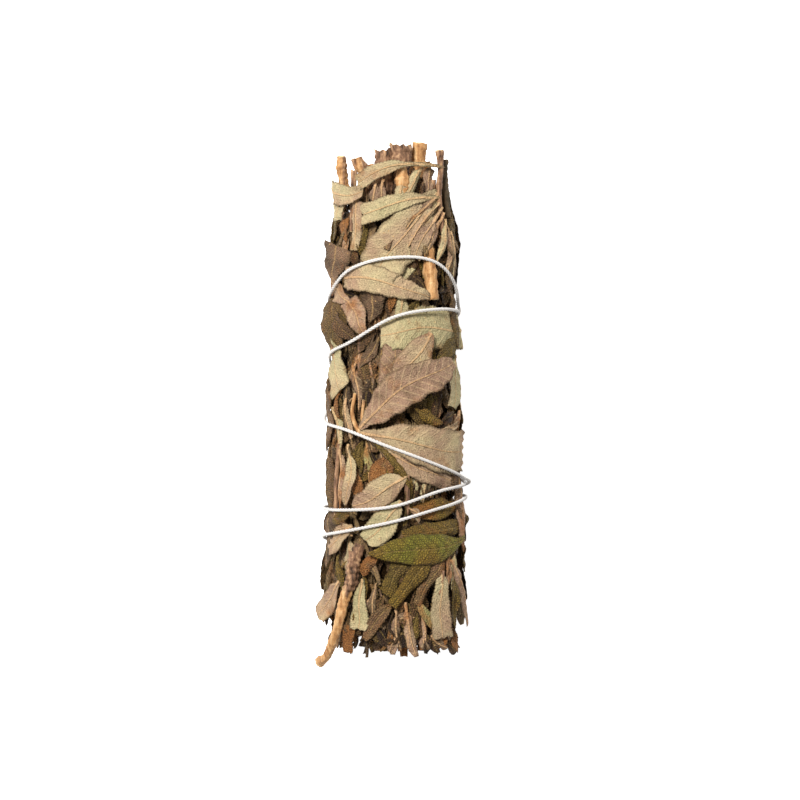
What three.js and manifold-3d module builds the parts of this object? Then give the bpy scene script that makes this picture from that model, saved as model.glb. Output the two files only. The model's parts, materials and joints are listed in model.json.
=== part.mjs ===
// A hand-sized bunch of dried sage, wound with one cotton twine and lying on a surface.
// It runs along Y, with its cut woody ends towards +Y, and +Z is up. The surface is at z = 0.
// Lengths are in millimetres and angles in degrees. Round the bunch, 0 degrees is towards +X,
// 90 degrees is the top, 180 degrees is towards -X and 270 degrees faces the surface.
import * as THREE from 'three';
import { mergeVertices } from 'three/addons/utils/BufferGeometryUtils.js';
import Module from 'manifold-3d';

const wasm = await Module();
wasm.setup();

// The bunch's outer form: an oval in section, wider towards its leafy end, flat where it lies.
const HALF_WIDTH = 13.6;
const TAPER = 0.03;
const OVAL = 0.9;
const AXIS_HEIGHT = 11.6;
// How far the leaves under it would reach below the surface if they weren't pressed flat.
const PRESSED = 0.25;
const LUMP = 0.35;

// The leaves lie in bands. Each band is a height above (+) or below (-) the outer form.
const OVER = -0.45;
const FLAT = -0.62;
const BELOW = -1.6;
const INNER = -2.75;
const CORE = -3.2;
const BLADE_THICKNESS = 0.8;
const TOOTH = 0.28;

// The twine, and the groove that its pull presses into the leaves.
const TWINE_DIAMETER = 0.8;
const TWINE_LIFT = 0.72;
const GROOVE_DEPTH = 0.8;
const GROOVE_DEPTH_UNDER = 1.55;
const GROOVE_WIDTH = 2.6;
const CROSSING_LIFT = 1.0;
const CROSSING_WIDTH = 2.4;

// The sprigs inside: each fills one sector round the axis, with its woody stem through it.
const SPRIGS = 6;
const SPRIG_GAP = 0.2;
const CORE_FROM = -40;
const CORE_TO = 41;
const STEM_CLEARANCE = 0.3;

const LEAF_GREEN = 0x7c7a55;
const LEAF_PALE = 0xa39a80;
const LEAF_BROWN = 0x6b5a44;
const WOOD = 0xb98f5c;
const COTTON = 0xe9e6df;

const RADIANS = Math.PI / 180;
const sin = (degrees) => Math.sin(degrees * RADIANS);
const cos = (degrees) => Math.cos(degrees * RADIANS);
const mix = (a, b, t) => a + (b - a) * t;
const clamp = THREE.MathUtils.clamp;

// A repeatable row of numbers from 0 to 1.
function draws(seed) {
  let state = seed;
  return () => {
    state = (state * 16807) % 2147483647;
    return state / 2147483647;
  };
}

// The twine's winding, from its knot and back to it: the height along Y at every 45 degrees of turn.
const TURN_STEP = 45;
const FIRST_TURN = -45;
const TWINE_Y = [
  -28.6, -27, -25.6, -23.6, -21, -19, -18.8, -19.4, -20.4, -21.2, -21.4, -20.6, -17.6, -16.2,
  -13.6, -6.8, 2, 8.8, 11.8, 16.8, 18.4, 18, 17.2, 18, 19.6, 20.8, 26.4, 28.6, 27.6, 20.8,
  14.4, 9.2, 2.8, -3.2, -5.6, -9.2, -12.8, -15.8, -18.8, -22.6, -28.6,
];
// Where the twine passes over an earlier turn of itself.
const CROSSING_TURNS = [1281, 1399, 1623, 1665];
const LAST_TURN = FIRST_TURN + TURN_STEP * (TWINE_Y.length - 1);

function twineY(turn) {
  const at = clamp((turn - FIRST_TURN) / TURN_STEP, 0, TWINE_Y.length - 1.000001);
  const i = Math.floor(at);
  const t = at - i;
  const [a, b, c, d] = [-1, 0, 1, 2].map((k) => TWINE_Y[clamp(i + k, 0, TWINE_Y.length - 1)]);
  return b + 0.5 * t * (c - a + t * (2 * a - 5 * b + 4 * c - d + t * (3 * (b - c) + d - a)));
}

// The winding goes over the top from -X to +X, so the angle falls as the turn grows.
const angleOfTurn = (turn) => 180 - turn;

const TRACE_STEP = 4;
const twineTrace = [];
for (let turn = FIRST_TURN; turn <= LAST_TURN; turn += TRACE_STEP)
  twineTrace.push([angleOfTurn(turn), twineY(turn)]);

function groove(angle, y) {
  let nearest = Infinity;
  for (const [traceAngle, traceY] of twineTrace) {
    const turned = (((angle - traceAngle) % 360) + 540) % 360 - 180;
    const across = turned * RADIANS * HALF_WIDTH;
    nearest = Math.min(nearest, across * across + (y - traceY) ** 2);
  }
  const depth = mix(GROOVE_DEPTH, GROOVE_DEPTH_UNDER, clamp((-sin(angle) - 0.6) / 0.3, 0, 1));
  return depth * Math.exp(-nearest / GROOVE_WIDTH ** 2);
}

// The outer form's radius from the axis.
function form(angle, y) {
  const wide = HALF_WIDTH - TAPER * y;
  const high = wide * OVAL;
  const oval = (wide * high) / Math.hypot(high * cos(angle), wide * sin(angle));
  const lumps = (sin(3 * angle + 13 * y) + sin(2 * angle - 20 * y + 57)) * 0.5 * LUMP;
  const toFloor = sin(angle) < 0 ? (AXIS_HEIGHT + PRESSED) / -sin(angle) : Infinity;
  return Math.min(oval + lumps, toFloor);
}

// A point round the bunch, at a height above the pressed outer form.
function place(angle, y, height) {
  const radius = form(angle, y) - groove(angle, y) + height;
  return new THREE.Vector3(radius * cos(angle), y, AXIS_HEIGHT + radius * sin(angle));
}

// The angle of a point on top of the bunch that lies x to the side of the axis, seen from above.
function angleAt(x, y) {
  const wide = HALF_WIDTH - TAPER * y;
  const around = Math.acos(clamp(x / wide, -1, 1));
  return Math.atan2(OVAL * Math.sin(around), Math.cos(around)) / RADIANS;
}
const fromAbove = ([x, y]) => [angleAt(x, y), y];

// Closed solid from a list of points and the triangles between them.
function solid(points, triangles) {
  const vertProperties = new Float32Array(points.flatMap((p) => [p.x, p.y, p.z]));
  const triVerts = new Uint32Array(triangles.flat());
  return new wasm.Manifold(new wasm.Mesh({ numProp: 3, vertProperties, triVerts }));
}

function solidOfGeometry(geometry) {
  const bare = new THREE.BufferGeometry().setAttribute('position', geometry.getAttribute('position'));
  if (geometry.index) bare.setIndex(geometry.index);
  const merged = mergeVertices(bare, 1e-4);
  return new wasm.Manifold(
    new wasm.Mesh({
      numProp: 3,
      vertProperties: merged.attributes.position.array,
      triVerts: new Uint32Array(merged.index.array),
    }),
  );
}

// Rings of equal count skinned into a closed solid, with a fan over each end.
function skin(rings) {
  const count = rings[0].length;
  const triangles = [];
  for (let r = 0; r + 1 < rings.length; r++)
    for (let i = 0; i < count; i++) {
      const [a, b] = [r * count + i, r * count + ((i + 1) % count)];
      triangles.push([a, b, b + count], [a, b + count, a + count]);
    }
  const last = (rings.length - 1) * count;
  for (let i = 1; i + 1 < count; i++) triangles.push([0, i + 1, i], [last, last + i, last + i + 1]);
  const made = solid(rings.flat(), triangles);
  return made.volume() < 0 ? solid(rings.flat(), triangles.map(([a, b, c]) => [a, c, b])) : made;
}

// A round rod through points, with a radius at each of them.
function rod(points, radii, sides) {
  const rings = points.map((point, k) => {
    const before = points[Math.max(k - 1, 0)];
    const after = points[Math.min(k + 1, points.length - 1)];
    const ahead = after.clone().sub(before).normalize();
    const side = new THREE.Vector3(0, 0, 1).cross(ahead).normalize();
    const up = ahead.clone().cross(side);
    return Array.from({ length: sides }, (_, i) =>
      point
        .clone()
        .addScaledVector(side, radii[k] * cos((360 * i) / sides))
        .addScaledVector(up, radii[k] * sin((360 * i) / sides)),
    );
  });
  return skin(rings);
}

// What a leaf has unless it says otherwise. Its stalk is the share of its length before the blade.
const PLAIN_LEAF = { bend: 0, curl: 0, teeth: 4, stalk: 0.14, ribStep: 4 };

// A sage leaf's half width along its length, as a share of its greatest.
function outline(u, stalk) {
  if (u < stalk) return mix(0.16, 0.24, u / stalk);
  const t = (u - stalk) / (1 - stalk);
  return Math.max(0.24 * (1 - t), Math.sin(Math.PI * t ** 0.82) ** 0.75);
}

// The height of a leaf's rib: from its root, up into its band, and out to its tip.
function ribHeight(leaf, u) {
  const rise = clamp(u / 0.3, 0, 1);
  return mix(mix(leaf.root, leaf.band, rise * (2 - rise)), leaf.tip, clamp((u - 0.6) / 0.4, 0, 1) ** 2);
}

// One blade, lens-shaped in section, with teeth along both edges. It is laid on the bunch from
// leaf.from to leaf.to, which are angle and height along Y, and bows sideways by leaf.bend.
function blade(leaf) {
  const [fromAngle, fromY] = leaf.from;
  const [toAngle, toY] = leaf.to;
  const radius = form((fromAngle + toAngle) / 2, (fromY + toY) / 2) + leaf.band;
  const start = new THREE.Vector2(fromAngle * RADIANS * radius, fromY);
  const end = new THREE.Vector2(toAngle * RADIANS * radius, toY);
  const along = end.clone().sub(start);
  const length = along.length();
  const sideways = new THREE.Vector2(-along.y, along.x).divideScalar(length);
  const at = (u, across, rise) => {
    const bow = leaf.bend * Math.sin(Math.PI * u) + across;
    const flat = start.clone().addScaledVector(along, u).addScaledVector(sideways, bow);
    return place(flat.x / radius / RADIANS, flat.y, ribHeight(leaf, u) + rise);
  };
  const edgeSteps = leaf.teeth * 2;
  const ribSteps = Math.max(3, Math.round(length / leaf.ribStep));
  const points = [];
  const add = (point) => points.push(point) - 1;
  const ribTop = [];
  const ribUnder = [];
  for (let i = 0; i < ribSteps; i++) {
    const u = i / ribSteps;
    const half = (BLADE_THICKNESS / 2) * (u < leaf.stalk ? 0.8 : 1);
    ribTop.push(add(at(u, 0, half)));
    ribUnder.push(add(at(u, 0, -half)));
  }
  const edges = [1, -1].map((hand) =>
    Array.from({ length: edgeSteps }, (_, j) => {
      const u = (j + (j ? 0.5 : 0)) / edgeSteps;
      const tooth = u > leaf.stalk ? (j % 2 ? TOOTH : -TOOTH) : 0;
      const across = Math.max(0.3, (leaf.width / 2) * outline(u, leaf.stalk) + tooth);
      return add(at(u, hand * across, leaf.curl * (across / (leaf.width / 2)) ** 2));
    }),
  );
  const tip = add(at(1, 0, 0));
  const triangles = [];
  // Zips a strip between the rib and an edge, the same way on both faces.
  const zip = (rib, edge, turned) => {
    let [i, j] = [0, 0];
    const ribLine = [...rib, tip];
    const edgeLine = [...edge, tip];
    while (i < ribSteps - 1 || j < edgeSteps - 1) {
      const stepRib = j >= edgeSteps - 1 || (i < ribSteps - 1 && (i + 1) / ribSteps <= (j + 1) / edgeSteps);
      const third = stepRib ? ribLine[i + 1] : edgeLine[j + 1];
      const made = [ribLine[i], edgeLine[j], third];
      triangles.push(turned ? made.reverse() : made);
      if (stepRib) i += 1;
      else j += 1;
    }
    const last = [ribLine[i], edgeLine[j], tip];
    triangles.push(turned ? last.reverse() : last);
  };
  zip(ribTop, edges[0], true);
  zip(ribUnder, edges[0], false);
  zip(ribTop, edges[1], false);
  zip(ribUnder, edges[1], true);
  const ends = [ribTop[0], edges[0][0], ribUnder[0], edges[1][0]];
  triangles.push([ends[0], ends[1], ends[2]], [ends[0], ends[2], ends[3]]);
  const made = solid(points, triangles);
  return made.volume() < 0 ? solid(points, triangles.map(([a, b, c]) => [a, c, b])) : made;
}

const ABOVE_FLOOR = solidOfGeometry(new THREE.BoxGeometry(100, 200, 100).translate(0, 0, 50));

// Joins solids, keeps what is above the surface, and drops loose scraps.
const MOST_SCRAP = 0.004;
function fuse(parts) {
  const whole = wasm.Manifold.union(parts).intersect(ABOVE_FLOOR);
  const kept = whole.decompose().sort((a, b) => b.volume() - a.volume())[0];
  if (kept.volume() < (1 - MOST_SCRAP) * whole.volume()) throw new Error('a leaf or a twig has come off');
  return kept;
}

const group = new THREE.Group();

function addNode(name, made, color, roughness = 0.9) {
  const { vertProperties, triVerts } = made.getMesh();
  const geometry = new THREE.BufferGeometry();
  geometry.setAttribute('position', new THREE.BufferAttribute(vertProperties, 3));
  geometry.setIndex(new THREE.BufferAttribute(triVerts, 1));
  geometry.computeVertexNormals();
  const mesh = new THREE.Mesh(geometry, new THREE.MeshStandardMaterial({ color, roughness, metalness: 0 }));
  mesh.name = name;
  group.add(mesh);
}

// The sprigs inside the bunch. Sprig k fills a sector that turns slowly along the bunch.
const SECTOR = 360 / SPRIGS;
const SPRIG_TWIST = 0.12;
const sectorAngle = (k, y) => 30 + SECTOR * k + SPRIG_TWIST * y;

// The core of packed stalks and leaves that a sprig's own leaves stand out of.
function sprigCore(k) {
  const stations = [CORE_FROM, -27, -12, 4, 18, 30, CORE_TO];
  return skin(
    stations.map((y, i) => {
      const middle = sectorAngle(k, y);
      const ended = i === 0 || i === stations.length - 1 ? -1.2 : 0;
      const inside = place(middle, y, 0);
      inside.set(1.2 * cos(middle), y, AXIS_HEIGHT + 1.2 * sin(middle));
      const outside = [-1, -0.35, 0.35, 1].map((share) => {
        const angle = middle + (share * SECTOR) / 2;
        const point = place(angle, y, CORE + ended);
        const inward = -Math.sign(share) * (Math.abs(share) === 1 ? SPRIG_GAP : 0);
        return point.add(new THREE.Vector3(-sin(angle) * inward, 0, cos(angle) * inward));
      });
      return [inside, ...outside];
    }),
  );
}

// Where each sprig's woody stem runs: its depth, its two ends and its radius.
const STEMS = [
  { depth: -6.8, from: -44, to: 51.6, radius: 1.4, lean: 3 },
  { depth: -6.4, from: -46, to: 49.4, radius: 1.0, lean: -7 },
  { depth: -6.3, from: -45, to: 48.6, radius: 1.1, lean: 8 },
  { depth: -6.5, from: -47, to: 47.5, radius: 1.2, lean: 4 },
  { depth: -6.3, from: -44.5, to: 46.8, radius: 1.0, lean: -5 },
  { depth: -6.6, from: -48, to: 48.2, radius: 1.15, lean: -3 },
];

function stemPoints(k) {
  const { depth, from, to, lean } = STEMS[k];
  const stations = [from, CORE_FROM - 1, -20, 0, 20, CORE_TO + 1, to];
  return stations.map((y) => {
    const beyond = Math.max(0, y - CORE_TO) / (to - CORE_TO);
    return place(sectorAngle(k, y) + lean * beyond, y, depth + 1.8 * beyond);
  });
}

function sprigLeaves(k) {
  const draw = draws(701 + 97 * k);
  const leaves = [];
  const half = (HALF_WIDTH * RADIANS * SECTOR) / 2;
  // A leaf whose ends lie across from the middle of the sector by a share of the room it has.
  const lay = (fromY, toY, fromShare, toShare, width, root, band, tip) => {
    const room = (y, height) => ((half * (HALF_WIDTH + height)) / HALF_WIDTH - width / 2 - 0.8) / half;
    const turn = (y, share, height) => sectorAngle(k, y) + (share * room(y, height) * SECTOR) / 2;
    leaves.push({
      ...PLAIN_LEAF,
      from: [turn(fromY, fromShare, band), fromY],
      to: [turn(toY, toShare, band), toY],
      width,
      root,
      band,
      tip,
      curl: 0.35 * (draw() - 0.5),
      teeth: 2,
      ribStep: 6,
    });
  };
  // Leaves up the side of the sprig, by turns to the left and to the right.
  for (let i = 0; i < 4; i++) {
    const y = 38 - 18 * i - 3 * draw();
    const hand = i % 2 ? 1 : -1;
    lay(y, Math.max(y - 14 - 4 * draw(), -48.5), -0.3 * hand, hand, 4 + draw(), CORE - 0.9, INNER, INNER);
  }
  // Cut leaf ends that stand out of both ends of the core, in two depths.
  for (let i = 0; i < 3; i++) {
    const deep = i === 1 ? -9.6 : -3.8;
    const width = i === 1 ? 2.2 : 3.4;
    const hand = [-1, 0, 1][i];
    lay(CORE_FROM + 8, -46 - 4 * draw(), 0.45 * hand, 0.9 * hand, width, deep - 1.2, deep, deep + 0.7);
  }
  for (let i = 0; i < 2; i++)
    lay(CORE_TO - 6, 45 + 3 * draw(), 0, i ? 0.8 : -0.8, 3.4, CORE - 1.4, CORE - 0.2, CORE + 0.6);
  return leaves;
}

for (let k = 0; k < SPRIGS; k++) {
  const route = stemPoints(k);
  const { radius } = STEMS[k];
  const stem = rod(route, route.map((_, i) => radius * (i % 2 ? 1.08 : 0.94)), 7);
  const hole = rod(route, route.map(() => radius * 1.1 + STEM_CLEARANCE), 6);
  const leaves = fuse([sprigCore(k), ...sprigLeaves(k).map(blade)]).subtract(hole);
  addNode(`sprig_${k + 1}_leaves`, fuse([leaves]), k % 2 ? LEAF_BROWN : LEAF_GREEN);
  addNode(`sprig_${k + 1}_stem`, fuse([stem]), WOOD, 0.75);
}

// A leafy shoot that lies on the outside: a twig, and leaves with their roots sunk in it.
// The twig's points and the leaves' tips are given as angle and height along Y, and each leaf's root
// as its height on the twig.
const TWIG_RADIUS = 0.55;
const TWIG_SINK = 0.12;
const TWIG_STEP = 4;
function shoot({ name, band, twig, leaves, color, ribStep = PLAIN_LEAF.ribStep }) {
  const twigPoint = (y) => {
    const i = clamp(twig.findIndex((point) => point[1] < y) - 1, 0, twig.length - 2);
    const [[angle, high], [nextAngle, low]] = [twig[i], twig[i + 1]];
    return [mix(angle, nextAngle, (high - y) / (high - low)), y];
  };
  const [high, low] = [twig[0][1], twig[twig.length - 1][1]];
  const steps = Math.ceil((high - low) / TWIG_STEP);
  const heights = Array.from({ length: steps + 1 }, (_, i) => mix(high, low, i / steps));
  const bends = twig.slice(1, -1).map((point) => point[1]);
  const route = [...heights, ...bends].sort((a, b) => b - a).map(twigPoint);
  const radii = route.map((_, i) => TWIG_RADIUS * mix(1, 0.8, i / (route.length - 1)));
  const teeth = band === BELOW ? 3 : PLAIN_LEAF.teeth;
  const blades = leaves.map(({ at, ...leaf }) =>
    blade({ ...PLAIN_LEAF, teeth, root: band, band, tip: band, ribStep, ...leaf, from: twigPoint(at) }),
  );
  const stalk = rod(
    route.map(([angle, y]) => place(angle, y, band - TWIG_SINK)),
    radii,
    4,
  );
  addNode(name, fuse([stalk, ...blades]), color);
}

// The shoots that show on top, with their places seen from above: x across, then height along Y.
const TOP_SHOOTS = [
  {
    name: 'crown_shoot',
    band: OVER,
    color: LEAF_PALE,
    twig: [[9.8, 46.6], [9.2, 41], [9.6, 36]],
    leaves: [
      { at: 46, to: [-7.6, 43.4], width: 3.6, bend: 1.6, stalk: 0.42 },
      { at: 41.4, to: [-6.4, 37.4], width: 4.2, bend: 0.6 },
      { at: 40, to: [4, 29.8], width: 2.6, bend: 0.6 },
      { at: 38, to: [7.6, 30.6], width: 2, bend: -0.3 },
      { at: 37, to: [10.8, 25.4], width: 2.8, bend: -0.8 },
    ],
  },
  {
    name: 'crown_left_shoot',
    band: BELOW,
    color: LEAF_GREEN,
    twig: [[-9.2, 46], [-9.6, 41], [-9.4, 34]],
    leaves: [
      { at: 43.8, to: [-12, 39.6], width: 4, bend: 0 },
      { at: 41, to: [-11.4, 33.6], width: 3.2, bend: 0.4 },
      { at: 38.6, to: [-8.2, 29.8], width: 2.2, bend: 0 },
      { at: 36, to: [-12.4, 28], width: 3, bend: 0 },
    ],
  },
  {
    name: 'crown_broad_shoot',
    band: BELOW,
    color: LEAF_PALE,
    twig: [[9, 44], [8.6, 41]],
    leaves: [
      { at: 41.4, to: [-5.6, 28.6], width: 7.2, bend: 0.8, teeth: 7 },
      { at: 43, to: [-1.6, 42.6], width: 3.4, bend: -0.8 },
    ],
  },
  {
    name: 'left_shoot',
    band: OVER,
    color: LEAF_BROWN,
    twig: [[-12.8, 27.5], [-13, 24], [-13.1, 19]],
    leaves: [
      { at: 25.6, to: [-8, 30.6], width: 4.6, bend: -0.6 },
      { at: 24, to: [7, 20.6], width: 4, bend: 1.4, stalk: 0.2 },
      { at: 20.6, to: [-4.8, 15.8], width: 5.2, bend: 0.4 },
    ],
  },
  {
    name: 'collar_shoot',
    band: BELOW,
    color: LEAF_BROWN,
    twig: [[1.6, 26], [0.8, 19]],
    leaves: [
      { at: 24.4, to: [-8.4, 20.6], width: 3.6, bend: 0.4 },
      { at: 22, to: [-6.6, 17.6], width: 3, bend: -0.4 },
      { at: 25, to: [4.6, 18.6], width: 2.6, bend: 0 },
    ],
  },
  {
    name: 'left_edge_shoot',
    band: OVER,
    color: LEAF_PALE,
    twig: [[-12.9, 13.6], [-12.7, 8]],
    leaves: [
      { at: 12.4, to: [-8.2, 2.4], width: 5, bend: -0.5 },
      { at: 9, to: [-12.4, -1], width: 3, bend: 0 },
    ],
  },
  {
    name: 'right_shoot',
    band: BELOW,
    color: LEAF_PALE,
    twig: [[12.9, 18], [13, 9]],
    leaves: [
      { at: 14.4, to: [-2.6, 13.2], width: 7.6, bend: 0.4, teeth: 6 },
      { at: 12, to: [11, -0.6], width: 4.2, bend: 0.3 },
    ],
  },
  {
    name: 'waist_shoot',
    band: OVER,
    color: LEAF_PALE,
    twig: [[-8.6, 0.5], [-7.8, -3.6], [-6.8, -7.4]],
    leaves: [
      { at: -2.6, to: [7.6, 13.2], width: 7.4, bend: 0.6, teeth: 7 },
      { at: -4.4, to: [11.2, 7.4], width: 7.6, bend: -1, teeth: 7 },
      { at: -5.4, to: [13.2, -9.4], width: 7.2, bend: 0.8, teeth: 7 },
      { at: -5.4, to: [12.8, -16.2], width: 3.8, bend: 0.4 },
    ],
  },
  {
    name: 'right_upper_shoot',
    band: BELOW,
    color: LEAF_GREEN,
    twig: [[11.9, 37], [12.2, 31], [12.5, 24]],
    leaves: [
      { at: 35, to: [9.2, 24.6], width: 3.4 },
      { at: 31, to: [11.6, 20.8], width: 3.4 },
    ],
  },
  {
    name: 'left_flank_shoot',
    band: BELOW,
    color: LEAF_GREEN,
    twig: [[-12.9, 6], [-13.2, -2], [-13.4, -10]],
    leaves: [
      { at: 4, to: [-11.6, -7], width: 3.4 },
      { at: -4, to: [-11.4, -15.4], width: 3.6 },
      { at: -8, to: [-13.4, -20.6], width: 3.4 },
    ],
  },
  {
    name: 'mid_left_shoot',
    band: BELOW,
    color: LEAF_BROWN,
    twig: [[-8, 14.6], [-7.6, 8], [-7.4, 1]],
    leaves: [
      { at: 13, to: [-4.2, 4.4], width: 3.2, bend: 0 },
      { at: 10, to: [-10.8, 0.5], width: 3.2, bend: 0.4 },
      { at: 6, to: [-4, -2.6], width: 3, bend: 0 },
      { at: 3, to: [-9.4, -5.4], width: 2.8, bend: 0 },
    ],
  },
  {
    name: 'right_low_shoot',
    band: BELOW,
    color: LEAF_BROWN,
    twig: [[13.2, -2.6], [13.4, -9], [13.4, -15]],
    leaves: [
      { at: -3.6, to: [5.6, -4], width: 3.2, bend: -0.4 },
      { at: -9, to: [5.4, -14.6], width: 3.4, bend: 0 },
      { at: -12.6, to: [9.8, -21.4], width: 3.2, bend: 0 },
    ],
  },
  {
    name: 'pale_shoot',
    band: OVER,
    color: LEAF_PALE,
    twig: [[2.6, -14.6], [3, -22]],
    leaves: [
      { at: -15.4, to: [-8.2, -22.4], width: 5.4, bend: -0.4 },
      { at: -20, to: [-6.4, -26.2], width: 4.6, bend: -0.4 },
      { at: -15, to: [3, -25.4], width: 2.4, bend: -0.3 },
    ],
  },
  {
    name: 'lower_left_shoot',
    band: OVER,
    color: LEAF_GREEN,
    twig: [[-11.2, -8.4], [-12, -14], [-12.4, -22]],
    leaves: [
      { at: -9, to: [-10.4, -20.4], width: 2.8, bend: -0.8 },
      { at: -12, to: [-13.5, -22], width: 2.6, bend: 0 },
      { at: -18.6, to: [-10, -29.6], width: 3.8, bend: -0.4 },
    ],
  },
  {
    name: 'dark_shoot',
    band: BELOW,
    color: LEAF_BROWN,
    twig: [[-6, -8.6], [-5.4, -14], [-5, -20]],
    leaves: [
      { at: -9.6, to: [2.6, -13.6], width: 2.8, bend: -0.6 },
      { at: -13.6, to: [0.4, -20.4], width: 3.2, bend: 0 },
      { at: -17, to: [-9.4, -26], width: 3.2, bend: 0 },
      { at: -19.4, to: [-0.8, -27.6], width: 3.2, bend: 0 },
    ],
  },
  {
    name: 'green_shoot',
    band: OVER,
    color: LEAF_GREEN,
    twig: [[13.8, -18.6], [13.9, -23], [13.8, -28]],
    leaves: [
      { at: -20.6, to: [5.6, -22.6], width: 3.8, bend: -0.6 },
      { at: -24.4, to: [-3.2, -29.8], width: 5.6, bend: -0.6, teeth: 6 },
      { at: -26.6, to: [14.2, -33.2], width: 2.2, bend: 0 },
    ],
  },
  {
    name: 'fan_shoot',
    band: OVER,
    color: LEAF_GREEN,
    twig: [[9.6, -33.6], [9.2, -38]],
    leaves: [
      { at: -34, to: [-1.8, -38], width: 3.6, bend: 1.2 },
      { at: -34.6, to: [-0.6, -42], width: 3.2, bend: 0.6 },
      { at: -35.2, to: [4, -42], width: 3.2, bend: 0 },
      { at: -36, to: [10.6, -48], width: 4.4, bend: 0 },
      { at: -34.6, to: [14, -45.6], width: 3.6, bend: 0 },
    ],
  },
  {
    name: 'tail_shoot',
    band: BELOW,
    color: LEAF_BROWN,
    twig: [[0.8, -31], [0.4, -39]],
    leaves: [
      { at: -33, to: [-5.4, -43], width: 3, bend: 0 },
      { at: -37.4, to: [-4.6, -49.4], width: 3, bend: 0 },
      { at: -38, to: [4.8, -49.4], width: 3, bend: 0 },
      { at: -34, to: [6, -43.4], width: 3, bend: 0 },
    ],
  },
  {
    name: 'corner_shoot',
    band: BELOW,
    color: LEAF_PALE,
    twig: [[-9.6, -29.6], [-9.4, -36]],
    leaves: [
      { at: -31.4, to: [-14.2, -43.4], width: 4.2, bend: 0 },
      { at: -33, to: [-7.2, -45.6], width: 3.6, bend: 0 },
      { at: -35, to: [-11.4, -47.6], width: 3, bend: 0 },
    ],
  },
];

for (const { twig, leaves, ...rest } of TOP_SHOOTS)
  shoot({
    ...rest,
    twig: twig.map(fromAbove),
    leaves: leaves.map(({ to, ...leaf }) => ({ ...leaf, to: fromAbove(to) })),
  });

// Bare cut stems that lie in the bunch's outside, seen from above, with a radius at each point.
const BARE_STEMS = [
  {
    name: 'cut_stem_lower',
    height: 0.15,
    route: [[-8.8, -29.4], [-8.7, -33], [-10, -40.4], [-11.6, -46.4], [-13.6, -50.4], [-14.6, -51.6]],
    radii: [0.9, 1.1, 0.95, 0.95, 0.9, 0.75],
  },
  {
    name: 'cut_stem_upper',
    height: -0.1,
    route: [[-10.7, 48.8], [-10.9, 45.6], [-10.8, 41.4], [-10.4, 39.4]],
    radii: [1, 0.95, 0.9, 0.7],
  },
  {
    name: 'cut_stem_edge',
    height: -1.2,
    route: [[11.2, 48.2], [11.2, 44], [11.3, 39.6]],
    radii: [0.95, 0.85, 0.75],
  },
];
for (const { name, height, route, radii } of BARE_STEMS) {
  const path = route.map(([x, y]) => place(...fromAbove([x, y]), height));
  addNode(name, fuse([rod(path, radii, 7)]), WOOD, 0.75);
}

// The shoots on the sides and the underside each keep to a cell of the outer form, as far apart as
// the leaves of neighbouring shoots need. Columns are angles, and rows are heights along Y.
const CELL_MARGIN = 0.5;
const CELLS = [
  {
    name: 'side',
    band: OVER,
    ribStep: 2.8,
    columns: [[185, 236], [304, 355]],
    rows: [[-46, -17], [-15, 13], [15, 44]],
  },
  {
    name: 'floor',
    band: FLAT,
    ribStep: 2.4,
    columns: [[239, 301]],
    rows: [[-45, -17], [-15, 13], [15, 43]],
  },
  {
    name: 'hidden',
    band: BELOW,
    ribStep: 6,
    columns: [[205, 268], [272, 335]],
    rows: [[-32, 30]],
  },
];

function cellLeaves([low, high], [near, far], middle, seed) {
  const draw = draws(seed);
  return Array.from({ length: 3 }, (_, i) => {
    const width = 4.8 + 1.6 * draw();
    const at = mix(far - 2, mix(near, far, 0.45), i / 2);
    const margin = (width / 2 + CELL_MARGIN) / HALF_WIDTH / RADIANS;
    const reach = (i % 2 ? 1 : -1) * (8 + 20 * draw());
    const tip = clamp(middle + reach, low + margin, high - margin);
    return { at, to: [tip, Math.max(at - 10 - 5 * draw(), near + 1)], width };
  });
}

const COLORS = [LEAF_GREEN, LEAF_BROWN, LEAF_PALE];
let cellSeed = 31;
for (const { name, band, ribStep, columns, rows } of CELLS) {
  let count = 0;
  for (const column of columns)
    for (const row of rows) {
      const middle = (column[0] + column[1]) / 2;
      const leaves = cellLeaves(column, row, middle, (cellSeed += 211));
      // The leaf that the origin's flat spot lies on.
      const onOrigin = name === 'floor' && row[0] < 0 && row[1] > 0;
      if (onOrigin) leaves.push({ at: 7.5, to: [middle, -4.5], band: OVER, width: 6.4, ribStep: 3 });
      count += 1;
      shoot({
        name: `${name}_shoot_${count}`,
        band,
        ribStep,
        color: COLORS[count % COLORS.length],
        twig: [[middle, row[1] - 1], [middle, mix(row[0], row[1], 0.4)]],
        leaves,
      });
    }
}

// The twine's winding lies in its groove, and rises over the turns that it crosses and at its knot.
const RISES = [FIRST_TURN, ...CROSSING_TURNS, LAST_TURN];
class Winding extends THREE.Curve {
  getPoint(t) {
    const turn = mix(FIRST_TURN, LAST_TURN, t);
    const rise = RISES.reduce((sum, at) => {
      const away = (turn - at) * RADIANS * HALF_WIDTH;
      return sum + CROSSING_LIFT * Math.exp(-((away / CROSSING_WIDTH) ** 2));
    }, 0);
    return place(angleOfTurn(turn), twineY(turn), TWINE_LIFT + rise);
  }
}

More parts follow.
